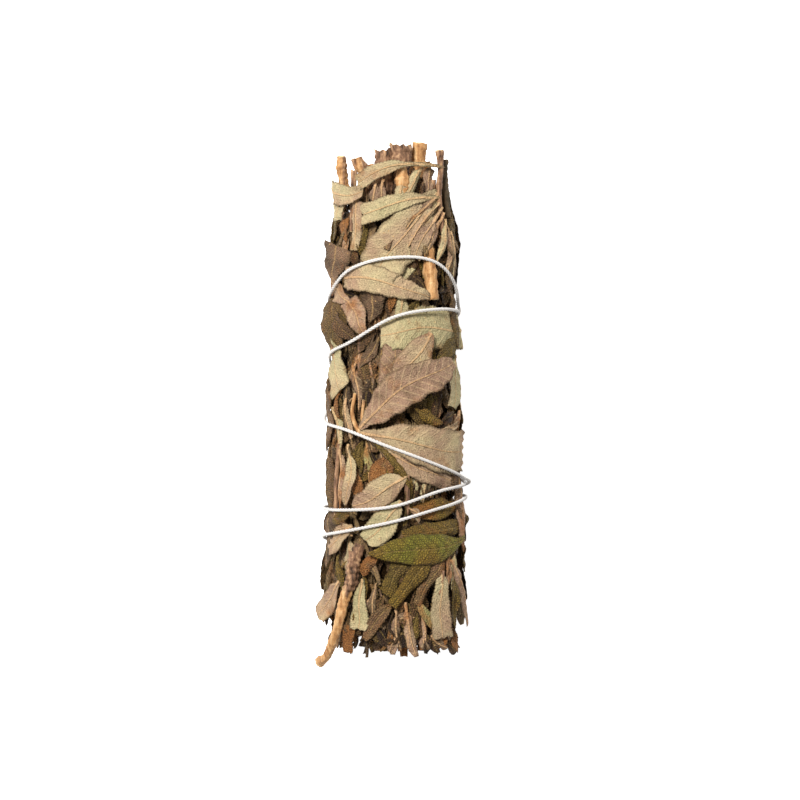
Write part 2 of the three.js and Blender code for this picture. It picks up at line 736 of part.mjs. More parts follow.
// The knot, low on the -X side: one end runs on as a tail, and the other is wrapped round it and
// then hangs as the second tail. Points are along the winding, along Y, and out from the bunch.
const WRAPS = 2.25;
const WRAP_RADIUS = 0.8;
const WRAP_PITCH = 0.95;
const KNOT_HEIGHT = TWINE_LIFT + CROSSING_LIFT;
const FIRST_TAIL = [
  [0.3, 0, 1.68], [-0.8, -0.4, 1.6], [-1.4, -1.8, 1.1], [-1.2, -4, 0.75], [-0.2, -7.6, 0.75],
];
const SECOND_TAIL = [[2.2, -1.6, 1.5], [3, -3, 0.9], [3.3, -5, 0.75], [2.3, -7.4, 0.8]];
const WRAP = Array.from({ length: WRAPS * 8 + 1 }, (_, i) => [
  -0.6 + (WRAP_PITCH * i) / 8,
  WRAP_RADIUS * cos(45 * i),
  KNOT_HEIGHT + WRAP_RADIUS * sin(45 * i),
]);
const knotCurve = (points) =>
  new THREE.CatmullRomCurve3(
    points.map(([along, y, out]) =>
      place(angleOfTurn(FIRST_TURN) - along / HALF_WIDTH / RADIANS, TWINE_Y[0] + y, out),
    ),
  );

const TWINE_SECTION = new THREE.Shape(
  new THREE.EllipseCurve(0, 0, TWINE_DIAMETER / 2, TWINE_DIAMETER / 2).getPoints(5),
);
function twinePart(extrudePath, steps) {
  return solidOfGeometry(new THREE.ExtrudeGeometry(TWINE_SECTION, { steps, extrudePath }));
}
addNode(
  'twine',
  fuse([
    twinePart(new Winding(), 136),
    twinePart(knotCurve(FIRST_TAIL), 12),
    twinePart(knotCurve([[-1.6, 1, 1.55], ...WRAP, ...SECOND_TAIL]), 34),
  ]),
  COTTON,
  0.95,
);

export default group;
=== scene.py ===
# A hand-sized bunch of dried sage, wound with one white cotton twine and lying on a pale floor.
# It runs along Y with its cut woody ends towards +Y, and +Z is up. Lengths are in millimetres until
# a piece is made, and angles are in degrees: 0 is towards +X, 90 is the top, 270 faces the floor.
import json
import math

import bpy
import numpy as np
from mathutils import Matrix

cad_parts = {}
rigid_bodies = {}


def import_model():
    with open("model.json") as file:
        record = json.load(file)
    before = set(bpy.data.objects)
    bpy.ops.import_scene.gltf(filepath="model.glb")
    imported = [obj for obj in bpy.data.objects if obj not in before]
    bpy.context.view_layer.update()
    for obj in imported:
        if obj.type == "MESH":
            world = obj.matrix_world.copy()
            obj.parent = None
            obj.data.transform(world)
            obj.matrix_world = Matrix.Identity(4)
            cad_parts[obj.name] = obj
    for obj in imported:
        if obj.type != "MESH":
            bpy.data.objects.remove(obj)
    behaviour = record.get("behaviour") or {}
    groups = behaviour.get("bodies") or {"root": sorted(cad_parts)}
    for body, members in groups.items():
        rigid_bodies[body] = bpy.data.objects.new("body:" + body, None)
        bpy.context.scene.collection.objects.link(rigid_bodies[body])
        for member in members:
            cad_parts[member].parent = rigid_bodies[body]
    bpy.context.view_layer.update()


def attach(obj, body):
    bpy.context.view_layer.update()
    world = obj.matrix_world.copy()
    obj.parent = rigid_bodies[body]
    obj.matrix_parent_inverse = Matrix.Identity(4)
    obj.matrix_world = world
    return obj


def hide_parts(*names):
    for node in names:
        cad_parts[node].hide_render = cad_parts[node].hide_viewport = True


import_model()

METRES = 0.001

# The bunch's outer form, as in the part's source.
HALF_WIDTH = 13.6
TAPER = 0.03
OVAL = 0.9
AXIS_HEIGHT = 11.6
PRESSED = 0.25
LUMP = 0.35

# Heights of its layers, measured from that form: on the outside, next to the floor, under the
# outside, and the dark inside.
OVER = -0.45
FLAT = -0.62
BELOW = -1.6
CORE = -3.2

# Where the finer pieces are held: above the floor, and below the height of the solids.
FLOOR_GAP = 0.02
LOWEST = 0.12
HIGHEST = 25.3

# The twine and the groove that it presses.
TWINE_DIAMETER = 0.8
TWINE_LIFT = 0.72
GROOVE_DEPTH = 0.8
GROOVE_DEPTH_UNDER = 1.55
GROOVE_WIDTH = 2.6
CROSSING_LIFT = 1.0
CROSSING_WIDTH = 2.4
TURN_STEP = 45
FIRST_TURN = -45
TWINE_Y = [
    -28.6, -27, -25.6, -23.6, -21, -19, -18.8, -19.4, -20.4, -21.2, -21.4, -20.6, -17.6, -16.2,
    -13.6, -6.8, 2, 8.8, 11.8, 16.8, 18.4, 18, 17.2, 18, 19.6, 20.8, 26.4, 28.6, 27.6, 20.8,
    14.4, 9.2, 2.8, -3.2, -5.6, -9.2, -12.8, -15.8, -18.8, -22.6, -28.6,
]
CROSSING_TURNS = [1281, 1399, 1623, 1665]
LAST_TURN = FIRST_TURN + TURN_STEP * (len(TWINE_Y) - 1)

SPRIGS = 6
SECTOR = 360 / SPRIGS
SPRIG_TWIST = 0.12
CORE_FROM = -40
CORE_TO = 41


# Seeds, so that each run gives the same bunch.
TOP_SEED = 11
CELL_SEED = 31
CELL_SEED_STEP = 211
SCATTER_SEED = 40
STEM_SEED = 50
CHUNK_SEED = 60
BARE_SEED = 80
SPRIG_SEED = 701
STRIP_SEED = 900


# Camera, light and floor. The light is a soft white sky, and a round window at the upper left.

PHOTO_WIDTH = 160
PHOTO_CENTRE = (1.2, 0.4)
LENS = 180
FOCUS_HEIGHT = 14
SKY_STRENGTH = 0.44
WINDOW_PLACE = (-0.16, 0.22, 0.5)
WINDOW_TURN = (-24, -17, 0)
WINDOW_SIZE = 0.15
WINDOW_ENERGY = 5.25
FLOOR_REACH = 1.5
FLOOR_BRIGHTNESS = 0.9
FLOOR_GLOW = 0.8
WHITE = (1, 1, 1, 1)


def set_up_camera():
    data = bpy.data.cameras.new("camera")
    data.lens = LENS
    camera = bpy.data.objects.new("camera", data)
    away = PHOTO_WIDTH * LENS / data.sensor_width + FOCUS_HEIGHT
    camera.location = (PHOTO_CENTRE[0] * METRES, PHOTO_CENTRE[1] * METRES, away * METRES)
    bpy.context.collection.objects.link(camera)
    bpy.context.scene.camera = camera


def set_up_light():
    world = bpy.data.worlds.new("soft_light")
    world.use_nodes = True
    background = world.node_tree.nodes["Background"]
    background.inputs["Color"].default_value = WHITE
    background.inputs["Strength"].default_value = SKY_STRENGTH
    bpy.context.scene.world = world
    data = bpy.data.lights.new("window", "AREA")
    data.shape = "DISK"
    data.size = WINDOW_SIZE
    data.energy = WINDOW_ENERGY
    window = bpy.data.objects.new("window", data)
    window.location = WINDOW_PLACE
    window.rotation_euler = [math.radians(turn) for turn in WINDOW_TURN]
    bpy.context.collection.objects.link(window)
    bpy.context.scene.view_settings.view_transform = "Standard"


def set_up_floor():
    r = FLOOR_REACH
    mesh = bpy.data.meshes.new("floor")
    mesh.from_pydata([(-r, -r, 0), (r, -r, 0), (r, r, 0), (-r, r, 0)], [], [(0, 1, 2, 3)])
    floor = bpy.data.objects.new("floor", mesh)
    bpy.context.collection.objects.link(floor)
    material = bpy.data.materials.new("pale_floor")
    material.use_nodes = True
    shader = material.node_tree.nodes["Principled BSDF"]
    shader.inputs["Base Color"].default_value = (*[FLOOR_BRIGHTNESS] * 3, 1)
    shader.inputs["Roughness"].default_value = 0.8
    shader.inputs["Emission Color"].default_value = WHITE
    shader.inputs["Emission Strength"].default_value = FLOOR_GLOW
    mesh.materials.append(material)


set_up_camera()
set_up_light()
set_up_floor()


# Places round the bunch.

def mix(a, b, t):
    return a + (b - a) * t


def sine(degrees):
    return np.sin(np.radians(degrees))


def cosine(degrees):
    return np.cos(np.radians(degrees))


def arc_to_angle(length):
    return np.degrees(length / HALF_WIDTH)


def through(a, b, c, d, t):
    """A smooth curve through four places, at a share t of the way from the second to the third."""
    return b + 0.5 * t * (c - a + t * (2 * a - 5 * b + 4 * c - d + t * (3 * (b - c) + d - a)))


def spread_along(values, count):
    """One value, or a few evenly spaced ones, as a value for each of a number of places."""
    given_at = np.linspace(0, 1, np.size(values))
    return np.interp(np.linspace(0, 1, count), given_at, np.atleast_1d(values))


def twine_y(turn):
    at = np.clip((np.asarray(turn, float) - FIRST_TURN) / TURN_STEP, 0, len(TWINE_Y) - 1.000001)
    i = at.astype(int)
    near = (np.take(TWINE_Y, np.clip(i + k, 0, len(TWINE_Y) - 1)) for k in (-1, 0, 1, 2))
    return through(*near, at - i)


# The groove's depth on a grid of angles and heights, which leaves then look up.
GRID_TURN = 2.0
GRID_STEP = 0.5
GRID_END = 54
GROOVE_ANGLES = np.arange(0, 361, GRID_TURN)
GROOVE_HEIGHTS = np.arange(-GRID_END, GRID_END + 0.1, GRID_STEP)


def groove_table():
    turns = np.arange(FIRST_TURN, LAST_TURN, 4.0)
    nearest = np.full((len(GROOVE_ANGLES), len(GROOVE_HEIGHTS)), 1e9)
    for trace_angle, trace_y in zip(180 - turns, twine_y(turns)):
        across = np.radians((GROOVE_ANGLES - trace_angle + 180) % 360 - 180) * HALF_WIDTH
        nearest = np.minimum(nearest, across[:, None] ** 2 + (GROOVE_HEIGHTS - trace_y)[None] ** 2)
    under = np.clip((-sine(GROOVE_ANGLES) - 0.6) / 0.3, 0, 1)
    return mix(GROOVE_DEPTH, GROOVE_DEPTH_UNDER, under)[:, None] * np.exp(-nearest / GROOVE_WIDTH**2)


GROOVES = groove_table()


def groove(angle, y):
    a = (angle % 360) / GRID_TURN
    h = np.clip((y + GRID_END) / GRID_STEP, 0, len(GROOVE_HEIGHTS) - 1.001)
    i, j = a.astype(int), h.astype(int)
    s, t = a - i, h - j
    low = mix(GROOVES[i, j], GROOVES[i, j + 1], t)
    high = mix(GROOVES[i + 1, j], GROOVES[i + 1, j + 1], t)
    return mix(low, high, s)


def form(angle, y):
    """The outer form's radius from the axis."""
    wide = HALF_WIDTH - TAPER * y
    high = wide * OVAL
    oval = wide * high / np.hypot(high * cosine(angle), wide * sine(angle))
    lumps = (sine(3 * angle + 13 * y) + sine(2 * angle - 20 * y + 57)) * 0.5 * LUMP
    facing = np.where(sine(angle) < -1e-6, -sine(angle), 1e-6)
    return np.minimum(oval + lumps, (AXIS_HEIGHT + PRESSED) / facing)


def place(angle, y, height):
    """Points round the bunch, at a height above the pressed outer form."""
    angle, y, height = np.broadcast_arrays(*(np.asarray(part, float) for part in (angle, y, height)))
    radius = form(angle, y) - groove(angle, y) + height
    up = np.maximum(AXIS_HEIGHT + radius * sine(angle), LOWEST)
    return np.stack([radius * cosine(angle), y, up], -1)


def angle_at(x, y):
    wide = HALF_WIDTH - TAPER * y
    around = math.acos(max(-1, min(1, x / wide)))
    return math.degrees(math.atan2(OVAL * math.sin(around), math.cos(around)))


def from_above(point):
    return angle_at(*point), point[1]


def laid_route(points, height):
    """Points seen from above, laid on the bunch at one height or at heights that change along them."""
    heights = spread_along(height, len(points))
    return [place(*from_above(point), at) for point, at in zip(points, heights)]


# Meshes: each piece gathers closed shells, which are rings of points joined along their length.

LEAF, WOOD, PITH = 0, 1, 2


class Gathered:
    """The shells of one piece, each point with two UVs and a tint."""

    def __init__(self):
        self.points, self.along, self.share, self.tints, self.quads, self.kinds = [], [], [], [], [], []
        self.count = 0

    def shell(self, rings, along, share, tint, kind=LEAF, end_kind=None):
        n, k = rings.shape[:2]
        index = self.count + np.arange(n * k).reshape(n, k)
        after = np.roll(index, -1, axis=1)
        sides = np.stack([index[:-1], after[:-1], after[1:], index[1:]], -1).reshape(-1, 4)
        j = np.arange(k // 2 - 1)
        cap = np.stack([j, j + 1, k - 2 - j, k - 1 - j], -1)
        first, last = index[0, cap[:, ::-1]], index[-1, cap]
        quads = np.concatenate([sides, first, last])
        flat = rings.reshape(-1, 3)
        a, b, c, d = (flat[quads[:, i] - self.count] for i in range(4))
        volume = np.einsum("ij,ij->i", a, np.cross(b, c)) + np.einsum("ij,ij->i", a, np.cross(c, d))
        if volume.sum() < 0:
            quads = quads[:, ::-1]
        self.points.append(flat)
        self.along.append(along.reshape(-1, 2))
        self.share.append(share.reshape(-1, 2))
        tints = np.ones((n * k, 4))
        tints[:, :3] = tint
        self.tints.append(tints)
        self.quads.append(quads)
        ends = kind if end_kind is None else end_kind
        self.kinds.append(np.r_[np.full(len(sides), kind), np.full(len(first) + len(last), ends)])
        self.count += n * k

    def mesh(self, name, materials):
        points = np.concatenate(self.points) * METRES
        quads = np.concatenate(self.quads).astype(np.int32)
        mesh = bpy.data.meshes.new(name)
        mesh.vertices.add(len(points))
        mesh.vertices.foreach_set("co", points.astype(np.float32).ravel())
        mesh.loops.add(quads.size)
        mesh.loops.foreach_set("vertex_index", quads.ravel())
        mesh.polygons.add(len(quads))
        mesh.polygons.foreach_set("loop_start", np.arange(0, quads.size, 4, dtype=np.int32))
        mesh.polygons.foreach_set("material_index", np.concatenate(self.kinds).astype(np.int32))
        mesh.polygons.foreach_set("use_smooth", np.ones(len(quads), bool))
        mesh.update(calc_edges=True)
        for title, values in (("leaf_mm", self.along), ("leaf_share", self.share)):
            layer = mesh.uv_layers.new(name=title)
            corners = np.concatenate(values)[quads.ravel()]
            layer.uv.foreach_set("vector", corners.astype(np.float32).ravel())
        tint = mesh.attributes.new("leaf", "FLOAT_COLOR", "POINT")
        tint.data.foreach_set("color", np.concatenate(self.tints).astype(np.float32).ravel())
        for material in materials:
            mesh.materials.append(material)
        return mesh

    def piece(self, name, materials):
        piece = bpy.data.objects.new(name, self.mesh(name, materials))
        bpy.context.collection.objects.link(piece)
        return piece


# Node trees.

def socket_of(sockets, name):
    return next(socket for socket in sockets if socket.name == name and socket.enabled)


def fill(tree, socket, value):
    """Gives a socket a value, or a link from another node's socket."""
    if isinstance(value, bpy.types.NodeSocket):
        tree.links.new(value, socket)
    else:
        socket.default_value = value


def put(tree, kind, sockets=None, **settings):
    """Adds a node, makes its settings, and fills its sockets with values or with links."""
    node = tree.nodes.new(kind)
    for name, value in settings.items():
        setattr(node, name, value)
    for name, value in (sockets or {}).items():
        fill(tree, node.inputs[name] if isinstance(name, int) else socket_of(node.inputs, name), value)
    return node


def maths(tree, operation, a, b=0.0, c=0.0):
    return put(tree, "ShaderNodeMath", {0: a, 1: b, 2: c}, operation=operation).outputs[0]


def one_less(tree, value):
    return maths(tree, "SUBTRACT", 1.0, value)


def ramp_between(tree, value, low, high):
    sockets = {"Value": value, "From Min": low, "From Max": high}
    return put(tree, "ShaderNodeMapRange", sockets, interpolation_type="SMOOTHSTEP").outputs["Result"]


def blended(tree, factor, a, b):
    node = put(tree, "ShaderNodeMix", {"Factor": factor, "A": a, "B": b}, data_type="RGBA")
    return socket_of(node.outputs, "Result")


def position_on_piece(tree):
    return put(tree, "ShaderNodeTexCoord").outputs["Object"]


def noise(tree, position, scale, detail, distortion=0.0):
    """Cloudy noise from 0 to 1, its scale per metre."""
    sockets = {"Vector": position, "Scale": scale, "Detail": detail, "Distortion": distortion}
    return put(tree, "ShaderNodeTexNoise", sockets).outputs["Fac"]


def parts_of(tree, vector):
    return put(tree, "ShaderNodeSeparateXYZ", {"Vector": vector}).outputs


def vector_of(tree, x, y, z=0.0):
    return put(tree, "ShaderNodeCombineXYZ", {"X": x, "Y": y, "Z": z}).outputs[0]


def shade(hexes):
    """A colour that is written as six hexadecimal digits, as linear light."""
    channels = [int(hexes[i : i + 2], 16) / 255 for i in (0, 2, 4)]
    return [c / 12.92 if c < 0.04045 else ((c + 0.055) / 1.055) ** 2.4 for c in channels] + [1]


def shades(tree, value, stops):
    """A ramp through colours, each at its own place from 0 to 1."""
    node = put(tree, "ShaderNodeValToRGB", {"Fac": value})
    elements = node.color_ramp.elements
    while len(elements) < len(stops):
        elements.new(0.5)
    for element, (at, colour) in zip(elements, stops):
        element.position = at
        element.color = shade(colour)
    return node.outputs["Color"]


NUMBER, COLOUR, WHOLE = "NodeSocketFloat", "NodeSocketColor", "NodeSocketInt"
GEOMETRY = "NodeSocketGeometry"


def new_tree(name, inputs, outputs, kind="ShaderNodeTree", values=None):
    """A node tree; its inputs and outputs are names with their socket types, and some have a value."""
    tree = bpy.data.node_groups.new(name, kind)
    for way, sockets in (("INPUT", inputs), ("OUTPUT", outputs)):
        for title, socket_type in sockets.items():
            socket = tree.interface.new_socket(name=title, in_out=way, socket_type=socket_type)
            if title in (values or {}):
                socket.default_value = values[title]
    return tree, tree.nodes.new("NodeGroupInput").outputs, tree.nodes.new("NodeGroupOutput").inputs


def make_mottling():
    """Darker and lighter patches in two sizes, which are given in patches per metre."""
    inputs = {"Color": COLOUR, "Patches": NUMBER, "Amount": NUMBER}
    tree, given, made = new_tree("mottling", inputs, {"Color": COLOUR, "Height": NUMBER})
    position = position_on_piece(tree)
    broad = noise(tree, position, scale=given["Patches"], detail=3.0)
    finer = maths(tree, "MULTIPLY", given["Patches"], 6.0)
    fine = noise(tree, position, scale=finer, detail=2.0)
    both = maths(tree, "MULTIPLY_ADD", fine, 3.0, broad)
    spread = maths(tree, "MULTIPLY", maths(tree, "SUBTRACT", both, 2.0), given["Amount"])
    patched = {"Color": given["Color"], "Value": maths(tree, "ADD", spread, 1.0)}
    tree.links.new(put(tree, "ShaderNodeHueSaturation", patched).outputs["Color"], made["Color"])
    tree.links.new(fine, made["Height"])
    return tree


def make_leaf_veins():
    """A leaf's midrib, side veins and fine net, and a band along its edges for a painted shadow line,
    from how far along and across it each point is.
    """
    outputs = {"Midrib": NUMBER, "Side veins": NUMBER, "Net": NUMBER, "Bulge": NUMBER, "Edge": NUMBER}
    inputs = {"Side vein pitch": NUMBER, "Net cells": NUMBER}
    tree, given, made = new_tree("leaf_veins", inputs, outputs)
    in_mm = put(tree, "ShaderNodeUVMap", uv_map="leaf_mm").outputs["UV"]
    mm = parts_of(tree, in_mm)
    share = parts_of(tree, put(tree, "ShaderNodeUVMap", uv_map="leaf_share").outputs["UV"])
    across = maths(tree, "ABSOLUTE", mm["Y"])
    rib_width = maths(tree, "MULTIPLY_ADD", share["X"], -0.2, 0.34)
    off_rib = ramp_between(tree, maths(tree, "DIVIDE", across, rib_width), 0.45, 1.0)
    slanted = maths(tree, "MULTIPLY_ADD", across, -0.85, mm["X"])
    slanted = maths(tree, "DIVIDE", slanted, given["Side vein pitch"])
    off_vein = maths(tree, "ABSOLUTE", maths(tree, "SUBTRACT", maths(tree, "FRACT", slanted), 0.5))
    cells = put(
        tree,
        "ShaderNodeTexVoronoi",
        {"Vector": in_mm, "Scale": given["Net cells"], "Randomness": 0.9},
        voronoi_dimensions="2D",
        feature="DISTANCE_TO_EDGE",
    ).outputs["Distance"]
    results = {
        "Midrib": one_less(tree, off_rib),
        "Side veins": one_less(tree, ramp_between(tree, off_vein, 0.02, 0.16)),
        "Net": one_less(tree, ramp_between(tree, cells, 0.02, 0.26)),
        "Bulge": ramp_between(tree, cells, 0.0, 0.42),
        # Edge is a band along the leaf's border, which the leaf's colour darkens as a painted shadow
        # line.
        "Edge": ramp_between(tree, maths(tree, "ABSOLUTE", share["Y"]), 0.84, 1.0),
    }
    for name, value in results.items():
        tree.links.new(value, made[name])
    return tree


def make_specks():
    """Pale crumbs and dark pits that lie here and there, from how many there could be per metre."""
    tree, given, made = new_tree("specks", {"Specks": NUMBER}, {"Pale": NUMBER, "Dark": NUMBER})
    sockets = {"Vector": position_on_piece(tree), "Scale": given["Specks"]}
    cells = put(tree, "ShaderNodeTexVoronoi", sockets).outputs
    spot = one_less(tree, ramp_between(tree, cells["Distance"], 0.1, 0.22))
    chance = put(tree, "ShaderNodeSeparateColor", {"Color": cells["Color"]}).outputs["Red"]
    for name, operation, limit in (("Pale", "GREATER_THAN", 0.82), ("Dark", "LESS_THAN", 0.24)):
        few = maths(tree, operation, chance, limit)
        tree.links.new(maths(tree, "MULTIPLY", spot, few), made[name])
    return tree


MOTTLING = make_mottling()
SPECKS = make_specks()
LEAF_VEINS = make_leaf_veins()


def new_material(name, roughness, sheen=0.0, specular=0.25):
    material = bpy.data.materials.new(name)
    material.use_nodes = True
    shader = material.node_tree.nodes["Principled BSDF"]
    shader.inputs["Roughness"].default_value = roughness
    shader.inputs["Specular IOR Level"].default_value = specular
    shader.inputs["Sheen Weight"].default_value = sheen
    shader.inputs["Sheen Roughness"].default_value = 0.6
    return material, material.node_tree, shader


def mottled(tree, colour, patches, amount):
    sockets = {"Color": colour, "Patches": patches, "Amount": amount}
    group = put(tree, "ShaderNodeGroup", sockets, node_tree=MOTTLING)
    return group.outputs["Color"], group.outputs["Height"]


def bumped(tree, shader, height, depth_mm):
    sockets = {"Height": height, "Distance": depth_mm * METRES, "Strength": 1.0}
    bump = put(tree, "ShaderNodeBump", sockets)
    tree.links.new(bump.outputs["Normal"], shader.inputs["Normal"])


def tint_of(tree):
    """A point's tone, its side of the leaf and its dryness, as its shell was given them."""
    tint = put(tree, "ShaderNodeAttribute", attribute_name="leaf").outputs["Color"]
    return put(tree, "ShaderNodeSeparateColor", {"Color": tint}).outputs


def overlaid(tree, colour, layers):
    """Lays shades over a colour, each where its mask is bright and at its own strength."""
    for mask, strength, over in layers:
        colour = blended(tree, maths(tree, "MULTIPLY", mask, strength), colour, shade(over))
    return colour


SIDE_VEIN_PITCH = 1.9
NET_CELLS = 2.1
UPPER_SIDE = [(0.0, "33231a"), (0.3, "785838"), (0.55, "6e5a28"), (0.8, "8a6a28"), (1.0, "7e7c2c")]
UNDERSIDE = [(0.0, "54422e"), (0.25, "957660"), (0.5, "a2876a"), (0.8, "b1a17a"), (1.0, "a59a72")]
WOOD_SHADES = [(0.3, "7c5230"), (0.5, "ac7f50"), (0.7, "c6a274")]
SKIN_SHADES = [(0.32, "38281c"), (0.5, "785841"), (0.68, "a88461")]


def make_sage_leaf():
    """Dried sage: a pebbled olive upper side, and a pale felted underside with raised veins."""
    material, tree, shader = new_material("sage_leaf", 0.85)
    tone, under, dry = tint_of(tree)
    pattern = {"Side vein pitch": SIDE_VEIN_PITCH, "Net cells": NET_CELLS}
    veins = put(tree, "ShaderNodeGroup", pattern, node_tree=LEAF_VEINS).outputs
    position = position_on_piece(tree)

    # Each side's colour, from a tone that drifts along the leaf.
    drift = noise(tree, position, scale=170.0, detail=2.0)
    drift = maths(tree, "MULTIPLY_ADD", drift, 1.5, maths(tree, "SUBTRACT", tone, 0.75))
    tone = blended(tree, maths(tree, "MULTIPLY_ADD", under, 0.45, 0.35), tone, drift)
    upper = overlaid(tree, shades(tree, tone, UPPER_SIDE), [
        (veins["Net"], 0.5, "1d160b"),
        (veins["Side veins"], 0.4, "2a2010"),
        (veins["Midrib"], 0.4, "8e7440"),
    ])
    lower = overlaid(tree, shades(tree, tone, UNDERSIDE), [
        (veins["Bulge"], 0.35, "7c6546"),
        (veins["Side veins"], 0.22, "cdb286"),
        (veins["Midrib"], 0.6, "c39a6c"),
    ])
    colour = blended(tree, under, upper, lower)

    # Dry brown patches, edges darkened as a painted shadow line round each leaf, mottling and specks.
    dried = noise(tree, position, scale=230.0, detail=4.0)
    dried = maths(tree, "MULTIPLY_ADD", dry, 0.5, dried)
    dried = ramp_between(tree, dried, 0.62, 0.86)
    colour = overlaid(tree, colour, [(dried, 0.8, "8d5a2c"), (veins["Edge"], 0.6, "4a381f")])
    colour, grain = mottled(tree, colour, 620.0, maths(tree, "MULTIPLY_ADD", under, -0.2, 0.6))
    specks = put(tree, "ShaderNodeGroup", {"Specks": 1100.0}, node_tree=SPECKS).outputs
    colour = overlaid(tree, colour, [(specks["Pale"], 0.55, "c79a62"), (specks["Dark"], 0.4, "241a10")])
    tree.links.new(colour, shader.inputs["Base Color"])

    # Relief: raised veins on the underside, pebbles between sunken ones on the upper side.
    raised = maths(tree, "MULTIPLY", veins["Net"], 0.4)
    raised = maths(tree, "MULTIPLY_ADD", veins["Side veins"], 0.3, raised)
    raised = maths(tree, "ADD", raised, veins["Midrib"])
    pebbled = maths(tree, "SUBTRACT", maths(tree, "MULTIPLY", veins["Bulge"], 1.6), veins["Midrib"])
    wrinkled = noise(tree, position, scale=850.0, detail=3.0, distortion=0.8)
    relief = maths(tree, "MULTIPLY_ADD", wrinkled, 2.2, grain)
    relief = maths(tree, "MULTIPLY_ADD", raised, under, relief)
    relief = maths(tree, "MULTIPLY_ADD", pebbled, one_less(tree, under), relief)
    bumped(tree, shader, relief, 0.22)
    return material


def make_bark():
    """Woody sage stem: golden tan, with grey-purple bark in lengthwise streaks and dark scars."""
    material, tree, shader = new_material("sage_bark", 0.75)
    tone, _, dark = tint_of(tree)
    lengthwise = {"Vector": position_on_piece(tree), "Scale": (1.0, 0.22, 1.0)}
    stretched = put(tree, "ShaderNodeMapping", lengthwise).outputs["Vector"]
    streak = noise(tree, stretched, scale=1500.0, detail=4.0)
    peeling = noise(tree, stretched, scale=420.0, detail=3.0)
    skin = blended(tree, dark, shades(tree, streak, SKIN_SHADES), shade("3a3320"))
    cover = maths(tree, "ADD", peeling, maths(tree, "SUBTRACT", 0.5, tone))
    cover = ramp_between(tree, cover, 0.42, 0.58)
    covered = blended(tree, cover, shades(tree, streak, WOOD_SHADES), skin)
    colour, grain = mottled(tree, covered, 700.0, 0.3)
    tree.links.new(colour, shader.inputs["Base Color"])
    relief = maths(tree, "MULTIPLY_ADD", streak, 1.5, maths(tree, "ADD", cover, grain))
    bumped(tree, shader, relief, 0.1)
    return material


def make_plain(name, roughness, colour, patches, amount, depth_mm, **gloss):
    """One mottled colour, with the mottling's grain as its relief."""
    material, tree, shader = new_material(name, roughness, **gloss)
    colour, grain = mottled(tree, shade(colour), patches, amount)
    tree.links.new(colour, shader.inputs["Base Color"])
    bumped(tree, shader, grain, depth_mm)
    return material


SAGE_LEAF = make_sage_leaf()
BARK = make_bark()
CUT_PITH = make_plain("cut_pith", 0.9, "c8aa7c", patches=1500.0, amount=0.35, depth_mm=0.12)
COTTON = make_plain(
    "white_cotton", 0.95, "cdc8c2", patches=2600.0, amount=0.25, depth_mm=0.05, sheen=0.2
)
# The sprigs' packed insides: crumbly, and near black as painted shade for the deep gaps between the
# leaves.
CRUMBS_IN_PAINTED_SHADE = make_plain(
    "leaf_crumbs_painted_shade", 0.95, "20160b", patches=700.0, amount=1.2, depth_mm=0.8, specular=0.0
)
LEAFY = [SAGE_LEAF, BARK, CUT_PITH]


# Leaves.

# A leaf's look: its tone from brown (0) to green or pale (1), its side (0 upper, 1 under), its dryness.
FELT = (0.55, 1.0, 0.1)
PINK_FELT = (0.32, 1.0, 0.15)
GREY_FELT = (0.85, 1.0, 0.05)
DULL_FELT = (0.15, 1.0, 0.3)
PALE_FELT = (0.66, 1.0, 0.1)
WARM_FELT = (0.42, 1.0, 0.1)
SANDY_FELT = (0.5, 1.0, 0.15)
BROWN_FELT = (0.22, 1.0, 0.2)
SHADED_FELT = (0.14, 1.0, 0.2)
OLIVE = (0.55, 0.0, 0.1)
GREEN = (0.95, 0.0, 0.0)
YELLOW = (0.74, 0.0, 0.12)
BROWN = (0.32, 0.0, 0.08)
MOSSY = (0.5, 0.0, 0.2)
TAWNY = (0.36, 0.15, 0.3)
EARTH = (0.08, 0.4, 0.12)
DARK = (0.1, 0.0, 0.1)
RUST = (0.3, 0.15, 0.68)
GOLDEN = (0.9, 0.45, 0.4)
AMBER = (0.72, 0.0, 0.42)
RUSTY = (0.25, 0.1, 0.7)

BLADE_THICKNESS = 0.34
BLADE_STEP = 0.25
BROAD_BLADE = 3.4
TOOTH_PITCH = 0.7
TOOTH_DEPTH = 0.11
SWING = 0.04
RAGGED = 0.02
LEAST_CURL = 0.02
RIB_HEIGHT = 0.2
RIB_WIDTH = 0.28
PUCKER = 0.05
# How fast a leaf may rise again beside the twine that presses it down.
PRESSING = 2.2
# How far the pattern of veins may be shifted along a leaf, so that no two leaves match.
VEIN_SHIFT = 7.3


def outline(u, stalk, base, cut):
    """A sage leaf's half width along its length, as a share of its greatest. A leaf that is broken
    off at its root starts at a share of its length, base, and one that lacks its tip ends at cut."""
    t = mix(base, cut, np.clip((u - stalk) / (1 - stalk), 0, 1))
    blade = np.maximum(0.24 * (1 - t), np.sin(np.pi * np.clip(t, 0, 1) ** 0.82).clip(0) ** 0.75)
    return np.where(u < stalk, mix(0.16, 0.24, u / max(stalk, 0.01)), blade)


def varied(look, draw):
    """A look's tint, with a little difference from leaf to leaf."""
    tone, under, dry = look
    return np.clip([tone + draw.normal(0, 0.06), under, dry + draw.normal(0, 0.08)], 0, 1)


def picked(looks, draw):
    return looks[int(draw.integers(len(looks)))]


def both_sides(grid):
    """Values over a blade's upper face, carried on round its lower one."""
    return np.concatenate([grid, grid[:, ::-1]], axis=1)


def blade_uvs(run, half, u, v):
    """Where a blade's points lie on it: in millimetres, and as shares of its length and half width."""
    pairs = ((run, v * half), (u, v))
    return [both_sides(np.stack(np.broadcast_arrays(*pair), -1)) for pair in pairs]


